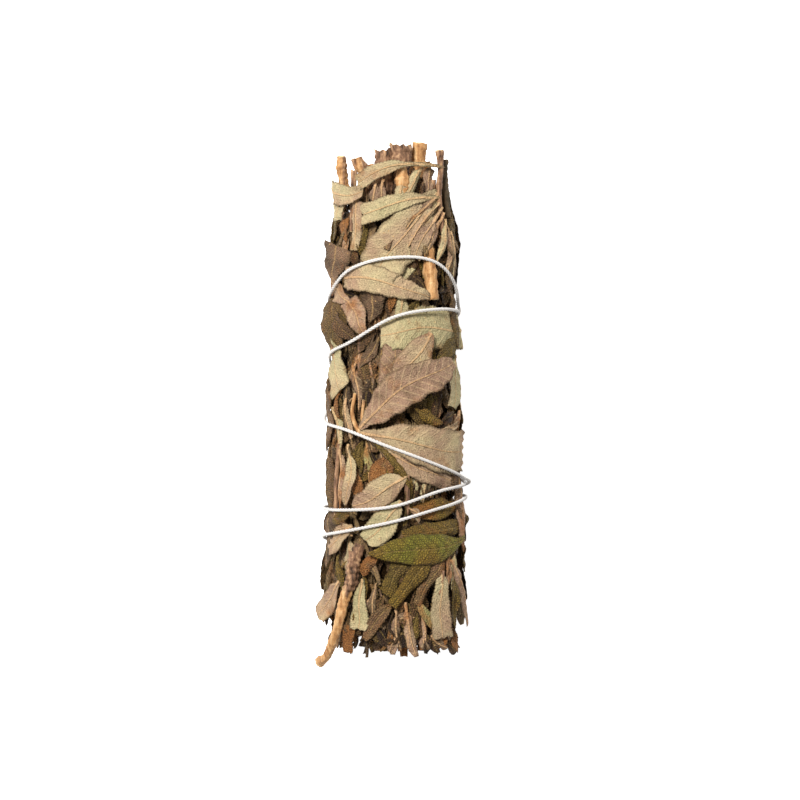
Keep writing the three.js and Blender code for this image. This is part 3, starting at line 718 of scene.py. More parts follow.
def lay_leaf(
    heap, start, end, width, look, bend=0.0, stalk=0.14, root=OVER, band=OVER, tip=None, curl=0.3,
    pleats=0.0, tilt=(0.0, 0.0), base=0.0, cut=1.0, wave=0.28, step=BLADE_STEP, across=None, seed=1,
    jagged=0.4,
):
    """Lays a blade on the bunch from start to end, each an angle and a height along Y. Its root, band
    and tip are heights from the outer form. It bows to the side by bend, rolls up across its width
    by curl, leans over by tilt at its root and its tip, and is torn where base or cut takes a part
    off, as deep as jagged says."""
    draw = np.random.default_rng(seed)
    tip = band if tip is None else tip
    radius = form(np.float64((start[0] + end[0]) / 2), (start[1] + end[1]) / 2) + band
    first = np.array([math.radians(start[0]) * radius, start[1]])
    ahead = np.array([math.radians(end[0]) * radius, end[1]]) - first
    length = max(np.hypot(*ahead), 0.5)
    sideways = np.array([-ahead[1], ahead[0]]) / length
    u = np.linspace(0, 1, max(8, int(length / step) + 1))[:, None]
    v = np.linspace(-1, 1, across or (11 if width > BROAD_BLADE else 9))[None]
    run = u * length
    to_tip = length * (1 - u)

    # Its edges swing a little, and they are toothed and ragged.
    swing = SWING * width * np.sin(2 * np.pi * (u * 1.3 + draw.random()))
    notch = np.abs(np.sin(np.pi * (run / TOOTH_PITCH + draw.random() + 0.37 * (v > 0)))) * 2 - 1
    toothed = TOOTH_DEPTH * notch * (u > stalk) * np.clip(to_tip / 1.5, 0, 1) * min(1, width / 3)
    ragged = RAGGED * width * np.sin(run * (1.1 + draw.random()) + 6 * draw.random() + 2 * (v > 0))
    half = np.maximum(0.06, width / 2 * outline(u, stalk, base, cut) + (toothed + ragged * (u > stalk)))

    # Across its width it is curled, leaning and pleated.
    bent = curl * (0.7 + 0.6 * np.sin(2 * np.pi * (u * (0.6 + draw.random()) + draw.random())))
    bent = np.where(np.abs(bent) < LEAST_CURL, LEAST_CURL, bent)
    side = half * np.sin(bent * v) / bent
    rise = half * (1 - np.cos(bent * v)) / bent
    lean = np.radians(mix(*tilt, u))
    side, rise = side * np.cos(lean) - rise * np.sin(lean), rise * np.cos(lean) + side * np.sin(lean)
    rise = rise + pleats * np.cos(2 * np.pi * v * 2.6 + 3 * np.sin(0.4 * run))

    # It is wavy, with a midrib that stands out underneath, and puckered between its side veins.
    for _ in range(2):
        pitch = mix(3.0, 7.0, draw.random())
        phase = 6.28 * draw.random(2)
        swell = np.sin(2 * np.pi * run / pitch + np.where(v > 0, phase[0], phase[1]))
        rise = rise + 0.5 * wave * v**2 * swell
    rise = rise + 0.3 * wave * np.sin(2 * np.pi * (run / 8.5 + draw.random()) + v)
    out = 1 if look[1] > 0.5 else -0.8
    rib = RIB_HEIGHT * np.exp(-((v * half / RIB_WIDTH) ** 2)) * (1 - 0.7 * u) * out
    pucker = PUCKER * np.cos(2 * np.pi * (run - 0.85 * np.abs(side)) / SIDE_VEIN_PITCH)
    rise = rise + rib + pucker * np.clip(half - 0.6, 0, 1)

    # Its broken ends are jagged.
    jags = [np.interp(v, np.linspace(-1, 1, 9), draw.random(9)) for _ in range(2)]
    torn_tip = (1 - cut) * jags[0] * np.clip(u * 6 - 5, 0, 1)
    torn_base = base * jags[1] * np.clip(1 - u * 6, 0, 1)
    torn = jagged * width * (torn_tip - torn_base)

    # It lies on the bunch, and the twine presses it down where it crosses it.
    settle = np.clip(u / 0.3, 0, 1)
    height = mix(mix(root, band, settle * (2 - settle)), tip, np.clip((u - 0.6) / 0.4, 0, 1) ** 2)
    bow = bend * np.sin(np.pi * u) + swing + side
    flat = first + ahead * (u - torn / length)[..., None] + sideways * bow[..., None]
    angle, y = np.degrees(flat[..., 0] / radius), flat[..., 1]
    under_twine = TWINE_LIFT - 0.5 * TWINE_DIAMETER - 0.5 * BLADE_THICKNESS
    pressed = under_twine + PRESSING * (1 - np.clip(groove(angle, y) / GROOVE_DEPTH, 0, 1))
    middle = place(angle, y, np.minimum(height + rise, pressed))

    # Its two faces, nearer to each other at its edges and its tip.
    normal = np.cross(np.gradient(middle, axis=0), np.gradient(middle, axis=1))
    normal /= np.linalg.norm(normal, axis=-1, keepdims=True) + 1e-9
    outwards = (middle - [0, 0, AXIS_HEIGHT]) * [1, 0, 1]
    normal *= np.where(np.einsum("ijk,ijk->ij", normal, outwards).mean() < 0, -1, 1)
    stout = np.where(u < stalk, 1.5, 1.0)
    half_thick = BLADE_THICKNESS / 2 * stout * (1 - 0.8 * v**4) * np.clip(to_tip / 0.6, 0.25, 1)
    offset = normal * half_thick[..., None]
    rings = np.concatenate([middle + offset, (middle - offset)[:, ::-1]], axis=1)
    rings[..., 2] = np.clip(rings[..., 2], FLOOR_GAP, HIGHEST)
    uvs = blade_uvs(run + VEIN_SHIFT * draw.random(), half, u, v)
    heap.shell(rings, *uvs, varied(look, draw))


# Twigs and stems.

NODE_PITCH = 6.5
NODE_LENGTH = 0.55
NODE_SWELLING = 0.16
ROUGHNESS = 0.03


def smooth_path(points, step):
    """Evenly spaced points on a curve through the given ones."""
    points = np.asarray(points, float)
    padded = np.vstack([2 * points[0] - points[1], points, 2 * points[-1] - points[-2]])
    made = []
    for i in range(1, len(padded) - 2):
        a, b, c, d = padded[i - 1 : i + 3]
        count = max(1, int(np.linalg.norm(c - b) / step))
        made.append(through(a, b, c, d, np.linspace(0, 1, count, endpoint=False)[:, None]))
    return np.vstack(made + [points[-1:]])


def lay_stem(
    heap, points, radii, tone, seed, sides=14, step=0.35, ridge=0.07, knobs=0.0, broken=0.3, dark=0.0,
):
    """A woody stem with ridges, swollen nodes and knobs. Its radii, tone and knobs may change along
    it, and its pale ends are broken off unevenly."""
    draw = np.random.default_rng(seed)
    path = smooth_path(points, step)
    travelled = np.r_[0, np.cumsum(np.linalg.norm(np.diff(path, axis=0), axis=1))]
    from_node = (travelled + 3 * draw.random()) % NODE_PITCH - NODE_PITCH / 2
    swollen = np.exp(-((from_node / NODE_LENGTH) ** 2))
    radius = spread_along(radii, len(path)) * (1 + NODE_SWELLING * swollen)
    ahead = np.gradient(path, axis=0)
    ahead /= np.linalg.norm(ahead, axis=1, keepdims=True)
    side = np.cross([0.05, 0, 1], ahead)
    side /= np.linalg.norm(side, axis=1, keepdims=True)
    up = np.cross(ahead, side)
    turn = np.linspace(0, 2 * np.pi, sides, endpoint=False)[None]
    along = travelled[:, None]
    ridges = np.sin(3 * turn + 0.4 * along) + 0.7 * np.sin(5 * turn - 0.3 * along + 2)
    ridges = ridges + 0.5 * np.sin(1.9 * along + turn)
    knobbed = np.sin(2.3 * along + 2 * turn) * np.sin(3.1 * along - 3 * turn + 1)
    knobbed *= spread_along(knobs, len(path))[:, None]
    rough = ROUGHNESS * draw.normal(size=(len(path), sides))
    reach = radius[:, None] * (1 + ridge * ridges + knobbed + rough)
    spoke = side[:, None] * np.cos(turn)[..., None] + up[:, None] * np.sin(turn)[..., None]
    rings = path[:, None] + reach[..., None] * spoke
    for end, way in ((0, -1), (-1, 1)):
        rings[end] += way * ahead[end] * (broken * draw.random((sides, 1)))
    rings[..., 2] = np.maximum(rings[..., 2], FLOOR_GAP)
    uv = np.stack(np.broadcast_arrays(along, turn / 6.3), -1)
    tones = spread_along(tone, len(path))
    tints = np.stack([tones, 0 * tones, 0 * tones + dark], -1).repeat(sides, axis=0)
    heap.shell(rings, uv, uv, tints, WOOD, PITH)


# The shoots that lie on the outside. Each leaf is given by its root and its tip, both seen from above
# as x across and height along Y, then by its width, its bow to the side and its look. A twig is given
# by its route, its tone and its radii.

def leaf(start, end, width, bend, look, **more):
    return dict(start=start, end=end, width=width, bend=bend, look=look, **more)


def twig(route, tone, radii=(0.5, 0.42), **more):
    return dict(route=route, tone=tone, radii=radii, **more)


SCRAP = dict(wave=0.5, stalk=0.05, across=7, step=0.35)


def scraps(x_range, y_range, count, looks, seed):
    """Small curled and broken leaves that fill a place between the whole ones."""
    draw = np.random.default_rng(seed)
    made = []
    for _ in range(count):
        x, y = draw.uniform(*x_range), draw.uniform(*y_range)
        length, way = draw.uniform(3, 6.5), draw.normal(-90, 32)
        reach = length / 2 * np.array([cosine(way), sine(way)])
        shape = dict(curl=draw.uniform(-1.6, 1.8), cut=draw.uniform(0.6, 1))
        shape["tilt"] = tuple(draw.normal(0, 28, 2))
        look = picked(looks, draw)
        start, end = (x - reach[0], y - reach[1]), (x + reach[0], y + reach[1])
        width, bend = draw.uniform(1.2, 2.6), draw.normal(0, 0.5)
        made.append(leaf(start, end, width, bend, look, **SCRAP, **shape))
    return made


def layered(heap, leaves, band, top, seed):
    """Lays leaves over each other, the first at the bottom, from a band up by the height of top."""
    for i, given in enumerate(leaves):
        height = given.get("height", band + top * (i / max(1, len(leaves) - 1)))
        placed = {"root": height - 0.2, **given, "band": height, "seed": seed * 100 + i}
        placed.pop("height", None)
        lay_leaf(heap, **placed)


def seen_from_above(given):
    return {**given, "start": from_above(given["start"]), "end": from_above(given["end"])}


def finished(heap, name):
    piece = heap.piece(f"{name}_dried", LEAFY)
    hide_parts(name)
    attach(piece, "root")


# How far the leaves of one shoot rise over each other, on the outside, in a cell and on the floor.
TOP_LAYERS = 0.45
CELL_LAYERS = 1.3
FLOOR_LAYERS = 0.1

# Each shoot is a name, a slot, the height of its layer, its twigs, and its leaves from the lowest up.
TOP_SHOOTS = [
    ("crown_shoot", "sage_leaf_pale", OVER, [
        twig([(9.3, 49.9), (9.7, 46.4), (9.3, 42), (9.4, 38), (10, 34), (11, 30.6)], 0.15,
             [0.8, 0.55, 0.6, 0.5, 0.4]),
    ], [
        leaf((9.2, 41.4), (2.4, 34.2), 2.0, 0.5, DULL_FELT, curl=-1.1, stalk=0.25, base=0.1,
             height=-0.2),
        leaf((9.4, 39.9), (3.0, 30.6), 2.3, 0.9, FELT, curl=-1.0, stalk=0.25, base=0.1, height=0.0),
        leaf((9.8, 37.6), (6.7, 29.6), 2.2, 0.4, PINK_FELT, curl=-0.9, stalk=0.2, height=0.1),
        leaf((9.6, 38.6), (4.4, 28.4), 3.4, 0.9, FELT, curl=0.5, cut=0.74, stalk=0.3, height=0.15),
        leaf((10.1, 36.4), (8.9, 27.6), 1.8, -0.5, GREY_FELT, curl=-1.0, base=0.1, height=0.2),
        leaf((10.3, 35.4), (11.3, 25.8), 2.2, -1.3, PINK_FELT, curl=-0.8, base=0.15),
        leaf((11.2, 34), (12.5, 24.4), 2.0, -0.5, FELT, curl=-1.0),
        leaf((9.2, 40.9), (-6.8, 36.9), 4.3, 0.7, GREY_FELT, cut=0.46, curl=0.4, stalk=0.16,
             pleats=0.12),
        leaf((10, 46.7), (-7.6, 43.4), 3.5, 1.9, GREY_FELT, stalk=0.42, cut=0.45, curl=0.3,
             pleats=0.16),
    ]),
    ("crown_left_shoot", "sage_leaf_green", BELOW, [
        twig([(-9.2, 46), (-9.6, 41), (-9.4, 34)], 0.3, [0.6, 0.45]),
    ], [
        leaf((-12.4, 37.6), (-13.0, 29.4), 4.6, 0.3, OLIVE, curl=0.3, base=0.15, height=-0.7),
        leaf((-10.2, 34), (-11.2, 26.5), 2.6, 0, DULL_FELT, curl=0.9),
        leaf((-9.4, 32), (-7.6, 25), 2.4, 0.3, DARK, curl=1.2),
        leaf((-6.4, 38.6), (-7.2, 27.4), 2.2, 0.3, OLIVE, curl=1.1, tilt=(20, 35)),
        leaf((-10.8, 36.6), (-10, 31.4), 2.6, 0, RUST, base=0.35, curl=0.3, stalk=0, height=-0.9),
        leaf((-8.0, 41.4), (-8.2, 30), 2.7, -0.3, FELT, curl=-0.7, pleats=0.12, base=0.3, cut=0.8,
             height=-0.6),
        leaf((-11.4, 43.4), (-11.8, 36), 6.2, 0.2, GREY_FELT, curl=0.2, base=0.3, cut=0.8, stalk=0,
             height=-0.5),
        leaf((-13.2, 43.0), (-6.0, 41.8), 4.4, 1.3, FELT, curl=0.6, base=0.2, cut=0.8, stalk=0,
             height=0.2, jagged=0.15),
    ]),
    ("crown_broad_shoot", "sage_leaf_pale", BELOW, [
        twig([(9, 44), (8.6, 40.6)], 0.3, [0.6, 0.5]),
    ], [
        leaf((4.6, 42.6), (0.8, 38.4), 3.4, 0, DARK, curl=-0.5),
        leaf((6.6, 46.6), (2.2, 38.8), 3.0, 0.6, GREY_FELT, curl=-1.0, cut=0.8, base=0.1),
        leaf((8.1, 47.2), (7.4, 40.6), 2.6, 0, DULL_FELT, curl=0.6, base=0.25, height=-1.4),
        leaf((1.6, 43.4), (1.4, 39.4), 2.4, 0, GREY_FELT, curl=-0.5, base=0.2, cut=0.8, height=-1.3),
        leaf((-3.8, 44), (-4.4, 38.6), 2.2, 0.3, PINK_FELT, curl=-1.3),
        leaf((-2.2, 44.2), (-2.6, 38.8), 1.8, 0.3, DULL_FELT, curl=-1.3),
        leaf((9.4, 41.6), (-3.6, 25.4), 9.4, 0.9, PALE_FELT, curl=0.15, cut=0.66, stalk=0,
             height=-0.45, pleats=0.16, jagged=0.1),
    ]),
    ("left_shoot", "sage_leaf_brown", OVER, [
        twig([(-12.8, 27.5), (-13, 24), (-13.1, 19)], 0.2),
    ], [
        leaf((-11.2, 31.2), (-12.6, 23.4), 7.8, 0, EARTH, base=0.42, curl=0.2, stalk=0, height=0.1,
             tilt=(20, 10), jagged=0.1),
        leaf((-13.2, 23.6), (-7.4, 20.4), 2.4, 0.2, DARK, curl=0.9, height=-1.3),
        leaf((-12.9, 24.8), (-9.2, 19.6), 4.2, 0, PINK_FELT, curl=0.4, base=0.15),
        leaf((-12.8, 18.8), (-8, 12), 3.6, 0, BROWN, curl=0.6),
        leaf((-9.2, 20.3), (-6.2, 13.4), 4.8, -0.3, BROWN_FELT, curl=0.4, base=0.3, cut=0.9, stalk=0,
             height=0.1, jagged=0.1),
        leaf((-10.6, 24.9), (7.2, 20.6), 5.6, -1.0, WARM_FELT, stalk=0, base=0.17, curl=0.3, cut=0.96,
             pleats=0.08),
        leaf((-12, 20.8), (-12.3, 10.6), 9, 0.2, MOSSY, base=0.42, cut=0.8, curl=0.2, stalk=0,
             height=0.1, tilt=(20, 5), jagged=0.05),
    ]),
    ("collar_shoot", "sage_leaf_brown", BELOW, [
        twig([(1.6, 26), (0.8, 19)], 0.2, [0.5, 0.45]),
    ], [
        *scraps((-9, -5), (18, 24), 7, [DARK, OLIVE, BROWN], 3),
        leaf((-4, 23.6), (-5.2, 15.7), 6.0, 0.2, EARTH, base=0.38, curl=-0.3, stalk=0, height=-0.95,
             pleats=0.1),
        leaf((1, 25), (-0.8, 17.6), 2.0, 0.3, RUST, curl=1.2),
        leaf((5.8, 20.6), (2.4, 15.4), 3.0, 0, OLIVE, curl=0.4),
        leaf((1.6, 21.4), (2, 14.6), 2.8, 0, GREY_FELT, cut=0.8, curl=0.5, stalk=0.03),
    ]),
    ("left_edge_shoot", "sage_leaf_pale", OVER, [
        twig([(-12.9, 13.6), (-12.7, 8)], 0.3),
    ], [
        leaf((-13.4, 9), (-13.2, -1), 3.2, 0, BROWN, curl=0.8),
        leaf((-12.6, 17), (-13, 4), 4.8, 0, EARTH, curl=-0.2, base=0.15, height=-0.5),
        leaf((-13.2, 13.6), (-10.4, 2.2), 6.4, -0.4, GREY_FELT, base=0.08, cut=0.56, curl=0.2, stalk=0,
             jagged=0.12),
    ]),
    ("right_shoot", "sage_leaf_pale", BELOW, [
        twig([(12.9, 18), (13, 9)], 0.3, [0.5, 0.45]),
    ], [
        leaf((12.6, 22.6), (13.0, 10.4), 4.8, 0, OLIVE, curl=-0.2, base=0.15, height=0.0, wave=0.1),
        leaf((13.2, 13.4), (8.8, 8.6), 3.6, 0, OLIVE, curl=0.3, height=-0.3),
        leaf((9.4, 10.8), (8.2, 6.4), 1.6, 0, YELLOW, curl=0.5),
        leaf((12.9, 9.4), (12.1, -1.4), 5.4, 0.3, GREY_FELT, cut=0.8, curl=0.3, stalk=0.05,
             height=-0.6),
        leaf((14, 14.4), (-3, 13.4), 8.6, 0.6, GREY_FELT, base=0.2, cut=0.8, curl=0.15, stalk=0,
             height=-0.85, root=0, jagged=0.08),
    ]),
    ("waist_shoot", "sage_leaf_pale", OVER, [
        twig([(-8.0, 1.6), (-8.6, -2.4), (-7.8, -5.4), (-6.4, -6.6)], 0.6, [0.3, 0.42, 0.5]),
        twig([(-6.2, 0.2), (-6.6, -3.4), (-5.6, -4.8)], 0.6, [0.3, 0.4]),
    ], [
        leaf((-1.6, 0.4), (0.6, 11.2), 6.2, 0.4, SHADED_FELT, cut=0.72, curl=0.2, stalk=0.03,
             height=-0.9, jagged=0.1),
        leaf((-5.8, -7.2), (13.6, -16.8), 4.8, 0.9, PINK_FELT, curl=0.2, pleats=0.26, stalk=0.12,
             cut=0.8),
        leaf((-6.2, -6.6), (6.4, -11.8), 1.7, 0.5, FELT, curl=-1.0, pleats=0.1, height=-0.2),
        leaf((7.6, 13.5), (-0.6, 1.4), 6.2, 0.3, SANDY_FELT, curl=0.25, stalk=0, root=0.2, height=0.0),
        leaf((-7.0, -5), (11.6, 8.2), 7.8, -1.5, PINK_FELT, curl=0.45, stalk=0.06, cut=0.92,
             height=0.45, pleats=0.1),
        leaf((-7.0, -5.8), (14.6, -10.2), 8.8, 0.7, FELT, curl=0.15, cut=0.62, stalk=0.1, height=0.2,
             pleats=0.2),
    ]),
    ("right_upper_shoot", "sage_leaf_green", BELOW, [
        twig([(7.5, 38), (7.7, 33), (8.0, 28.6), (8.3, 20.4)], 0.85, [1.25] * 10 + [1.55] + [1.2] * 4,
             height=[-2.4, -2.0, -0.8, -0.8], ridge=0.03),
        twig([(11.9, 37), (12.2, 31), (12.5, 24)], 0.2, [0.55, 0.42]),
    ], [
        leaf((5.2, 30), (1.4, 24.6), 3.4, 0, GREY_FELT, curl=0.4, cut=0.8),
        *scraps((3.4, 5.4), (20, 29), 7, [DARK, DULL_FELT, BROWN], 5),
        *scraps((10, 12.6), (20, 34), 7, [DARK, OLIVE, PINK_FELT], 6),
        leaf((12.0, 38), (12.2, 28), 3.6, 0, OLIVE, curl=-0.2, base=0.15, height=-0.6),
        leaf((12.2, 31), (12.5, 18), 4.6, 0, BROWN, curl=-0.2, base=0.15, height=-0.2),
    ]),
    ("left_flank_shoot", "sage_leaf_green", BELOW, [
        twig([(-12.9, 6), (-13.2, -2), (-13.4, -10)], 0.2),
    ], [
        leaf((-13.2, -4), (-11.4, -15.4), 3.8, 0, OLIVE),
        leaf((-13.4, -8), (-13.4, -20.6), 3.6, 0, DULL_FELT, curl=0.9),
        leaf((-13.1, 4), (-13.4, -10), 4.6, 0, EARTH, curl=-0.2, base=0.15, height=0.1, wave=0.12),
        leaf((-12.4, 4), (-11.6, -7), 3.2, 0, BROWN, curl=-0.8, height=-1.0),
        *scraps((-13, -10), (-9, 4), 10, [DARK, BROWN, DULL_FELT, GREY_FELT], 7),
        leaf((-11.2, 2.6), (-12.2, -6.4), 2.0, 0.4, RUSTY, curl=-1.4, tilt=(20, -20), height=-0.3),
        leaf((-9.8, 0.8), (-9.2, -7.4), 1.8, 0.4, PINK_FELT, curl=-1.5, tilt=(-20, 25), height=-0.4),
        leaf((-12.4, -1), (-11.0, -9.6), 1.9, -0.5, GREY_FELT, curl=-1.5, tilt=(25, -10), height=-0.2),
    ]),
    ("mid_left_shoot", "sage_leaf_brown", BELOW, [
        twig([(-8, 14.6), (-7.6, 8), (-7.4, 1)], 0.1, [0.5, 0.4]),
    ], [
        *scraps((-9.5, -3), (8, 16), 10, [DARK, EARTH, BROWN, RUST], 8),
        *scraps((-10.5, -3), (-4, 9), 12, [DARK, BROWN, DULL_FELT, EARTH], 9),
        leaf((-5.4, 10.8), (-4.8, 1.6), 2.4, 0.6, DULL_FELT, curl=1.3, tilt=(-25, 20)),
        leaf((-9.6, 5.4), (-10.6, -6.6), 2.8, 0.4, EARTH, curl=-1.4, height=-0.9),
        leaf((-4.0, 15.4), (-8.2, 9.2), 3.4, 0.6, BROWN, curl=-0.9, base=0.2, height=-0.9),
        leaf((-3.2, 12.8), (-7.4, 6.6), 2.4, -0.5, EARTH, curl=1.2, base=0.2, height=-0.8),
        leaf((-6.6, 9.2), (-4.4, 1.2), 2.6, 0.7, BROWN, curl=-1.3, base=0.2, height=-0.8),
        leaf((-8.8, 7.4), (-7.4, -1.8), 2.4, -0.6, DULL_FELT, curl=-1.4, base=0.2, height=-0.8),
        leaf((-5.8, 3.2), (-5.6, -4), 2.2, 0.3, DARK, curl=-1.3, base=0.2, height=-0.9),
        leaf((-2.2, 11.4), (-1.9, 0.2), 1.7, 0.2, GOLDEN, curl=0.4, cut=0.8, stalk=0.02),
    ]),
    ("right_low_shoot", "sage_leaf_brown", BELOW, [
        twig([(13.2, -2.6), (13.4, -9), (13.4, -15)], 0.2),
    ], [
        *scraps((4, 9), (-23, -15), 12, [DARK, BROWN, DULL_FELT, GREY_FELT], 12),
        leaf((13.2, -1.6), (13.3, -12), 3.6, 0, DULL_FELT, curl=-0.2, base=0.15, height=-0.5),
        leaf((13.3, -10), (13.6, -24), 5.4, 0, BROWN, curl=-0.2, base=0.15, height=0.1, wave=0.12),
        leaf((5.6, -12.8), (4.6, -22), 2.4, 0.3, DARK, curl=-1.2, height=-1.1),
        leaf((7.4, -14), (6.6, -20.4), 1.5, 0.2, GREY_FELT, curl=-1.2, height=-0.9),
        leaf((9.4, -15), (8.8, -21), 1.6, 0.2, DARK, curl=-1.2, height=-1.0),
        leaf((13, -2), (9.4, -5.6), 2.4, 0.6, DARK, curl=1.1),
        leaf((4.6, -1.2), (10.2, -4.4), 3.2, 0.4, AMBER, curl=-0.9, height=-0.6),
        leaf((14, -2.4), (10.2, -5.4), 1.7, -0.7, FELT, curl=1.5, height=-0.7),
    ]),
    ("pale_shoot", "sage_leaf_pale", OVER, [
        twig([(2.6, -14.6), (3, -22)], 0.3),
    ], [
        leaf((3.4, -13.6), (2.2, -25), 2.2, -0.4, OLIVE, curl=1.1, tilt=(20, 35)),
        leaf((1.4, -19.4), (-6.0, -27.6), 5.8, -0.6, GREY_FELT, cut=0.75, curl=0.2, stalk=0.04),
        leaf((2.4, -14.4), (-8.6, -20.8), 5.8, -0.7, FELT, curl=0.25, stalk=0.04, cut=0.95),
    ]),
    ("lower_left_shoot", "sage_leaf_green", OVER, [
        twig([(-11.2, -8.4), (-12, -14), (-12.4, -22)], 0.2),
    ], [
        leaf((-13.2, -9), (-13.4, -23.6), 5, 0, BROWN, curl=-0.2, base=0.15, height=0.05, wave=0.12),
        leaf((-13.3, -20), (-13.5, -33), 5, 0, EARTH, curl=-0.2, base=0.15, height=0.05, wave=0.12),
        leaf((-12.6, -7), (-13.4, -20.6), 2.6, 0.5, EARTH, curl=-1.5, base=0.2),
        leaf((-11.2, -9), (-11.6, -21.6), 2.2, -0.6, DULL_FELT, curl=-1.5, base=0.2),
        leaf((-13.2, -9.4), (-12.2, -23), 2.0, 0.6, PINK_FELT, curl=-1.6, base=0.2),
        leaf((-13.4, -21.6), (-8.6, -26.6), 3.4, 0, EARTH, curl=-0.6, base=0.2),
        leaf((-13, -23.6), (-9, -22.4), 2.8, 0, OLIVE, curl=0.4),
        leaf((-8.6, -24.4), (-13.2, -29.6), 4.2, 0.2, FELT, curl=0.3, cut=0.8, stalk=0.03),
        leaf((-9.2, -8.4), (-10.0, -20.6), 2.9, -1.2, FELT, curl=0.7, cut=0.9),
    ]),
    ("dark_shoot", "sage_leaf_brown", BELOW, [
        twig([(-6, -8.6), (-5.4, -14), (-5, -20)], 0.6),
    ], [
        *scraps((-9, -4), (-20, -8), 16, [DARK, OLIVE, BROWN, OLIVE, DULL_FELT], 14),
        *scraps((-3, 3), (-18, -8), 10, [DARK, BROWN, OLIVE], 15),
        leaf((-8.4, -13.4), (-8, -18.4), 3.0, 0, RUST, cut=0.8, curl=0.5),
        leaf((-1.6, -10.6), (-3.2, -16.4), 5.0, 0, RUST, cut=0.7, curl=0.3, stalk=0.03, height=-0.8),
        leaf((-6.6, -7.6), (-3.4, -15.6), 1.9, 0.4, GOLDEN, curl=0.9),
        leaf((-6, -6.8), (3.3, -17.4), 2.0, -1.4, OLIVE, curl=-1.0, height=0.1),
    ]),
    ("green_shoot", "sage_leaf_green", OVER, [
        twig([(13.8, -18.6), (13.9, -23), (13.8, -28)], 0.4),
    ], [
        leaf((14.2, -21.6), (14.6, -28), 2.8, 0, OLIVE, curl=0.8, height=-0.1),
        leaf((13.6, -15), (13.8, -30), 4.6, 0, DULL_FELT, curl=-0.2, base=0.15, height=0.05, wave=0.12),
        leaf((13.8, -26.4), (14.8, -34), 1.9, 0.4, OLIVE, curl=1.0),
        leaf((12.6, -27.8), (4.6, -31.4), 2.8, 0.2, GREEN, curl=0.5, base=0.1),
        leaf((13.9, -24), (1.6, -26.2), 4.2, -0.5, AMBER, curl=-1.0, cut=0.85, base=0.12, height=-0.3),
        leaf((2.8, -21), (5.4, -23.8), 1.6, -0.9, FELT, curl=1.5, cut=0.8),
        leaf((13.9, -20.2), (4, -21.4), 4.4, -0.5, AMBER, curl=-1.2, cut=0.8, base=0.12, height=-0.3),
        leaf((13.6, -27.2), (-5.0, -29.8), 6.2, -0.7, GREEN, curl=-0.3, stalk=0.1, height=0.6),
    ]),
    ("fan_shoot", "sage_leaf_green", OVER, [
        twig([(9.6, -33.6), (9.2, -38)], 0.3),
    ], [
        leaf((12.2, -28.6), (11.8, -37.4), 1.6, 0.2, GREY_FELT, curl=1.2),
        leaf((11, -28.8), (10.8, -36.8), 1.7, 0.2, PINK_FELT, curl=1.2),
        leaf((11.6, -33), (12.6, -45.2), 2.6, -0.4, OLIVE, curl=0.9),
        leaf((4.2, -38.8), (8, -44.8), 2.2, -0.2, GOLDEN, cut=0.85, curl=0.5),
        leaf((9.2, -32.4), (9.7, -47.2), 5.2, 0, FELT, cut=0.5, curl=0.4, stalk=0.05),
        leaf((11.2, -31.4), (14.9, -44.8), 3.3, -0.8, PINK_FELT, cut=0.9, curl=-0.5, stalk=0.05),
        leaf((2.4, -31), (-1.7, -38.2), 4.0, 0.3, OLIVE, curl=-1.0, base=0.25, cut=0.8, stalk=0,
             root=-1.2, height=-0.4, jagged=0.12),
        leaf((10.4, -30), (4.6, -40.2), 3.6, 0.5, TAWNY, curl=-1.0, base=0.2, cut=0.82, stalk=0,
             root=-1.2, height=-0.1, jagged=0.12),
        leaf((7.8, -30), (-0.3, -40.4), 3.7, 0.4, YELLOW, curl=-1.0, base=0.25, cut=0.76, stalk=0,
             root=-1.0, height=0.3, jagged=0.12),
    ]),
    ("tail_shoot", "sage_leaf_brown", BELOW, [
        twig([(0.8, -31), (0.4, -39)], 0.2),
    ], [
        *scraps((-6, 13), (-46, -39), 22, [DARK, BROWN, DULL_FELT, BROWN, OLIVE], 17),
        *scraps((-4, 4), (-39, -31), 8, [DARK, BROWN, OLIVE], 18),
        *scraps((-6, 12), (-48.5, -46), 14, [RUSTY, DULL_FELT, DARK], 24),
        leaf((-4, -35.8), (-4.4, -43), 1.8, 0.3, DULL_FELT, curl=1.2),
        leaf((6, -38), (6.2, -46.6), 2.4, 0, DARK, curl=0.9),
        leaf((2.6, -39.6), (4.8, -50.4), 2.6, 0.5, PINK_FELT, curl=-0.9, cut=0.9, height=-1.0),
        leaf((0.4, -41), (1.4, -49), 1.8, 0.4, DULL_FELT, curl=-1.1, height=-1.1),
        leaf((2.2, -42), (2.8, -48.4), 1.6, -0.5, PINK_FELT, curl=-1.2, height=-1.2),
        leaf((5.4, -41), (6.8, -48), 1.8, -0.5, DULL_FELT, curl=-1.2, height=-1.2),
        leaf((12.6, -44), (13.6, -50), 2.4, 0.5, RUSTY, curl=1.2),
        leaf((0.4, -38.8), (-6.2, -47), 3.0, 0.3, TAWNY, curl=0.5, height=-0.7, cut=0.9),
    ]),
    ("corner_shoot", "sage_leaf_pale", BELOW, [
        twig([(-9.6, -29.6), (-9.4, -36)], 0.2, [0.6, 0.5]),
    ], [
        *scraps((-13, -5), (-44, -32), 12, [DARK, BROWN, OLIVE], 19),
        leaf((-10.4, -41), (-9.4, -50), 2.4, 0.3, BROWN, curl=0.7),
        leaf((-6.8, -33.8), (-6.4, -40), 1.8, 0, OLIVE, curl=1.1),
        leaf((-12.2, -30.4), (-10.8, -37.4), 2.2, 0.4, OLIVE, curl=-0.8, height=-0.8),
        leaf((-3.2, -30.2), (-7.2, -33.8), 3.0, 0.2, RUST, curl=-0.9, cut=0.8, height=-0.6),
        leaf((-6.9, -35), (-7.2, -45.4), 3.9, 0, GREY_FELT, cut=0.46, curl=0.5, stalk=0.05,
             height=-0.7),
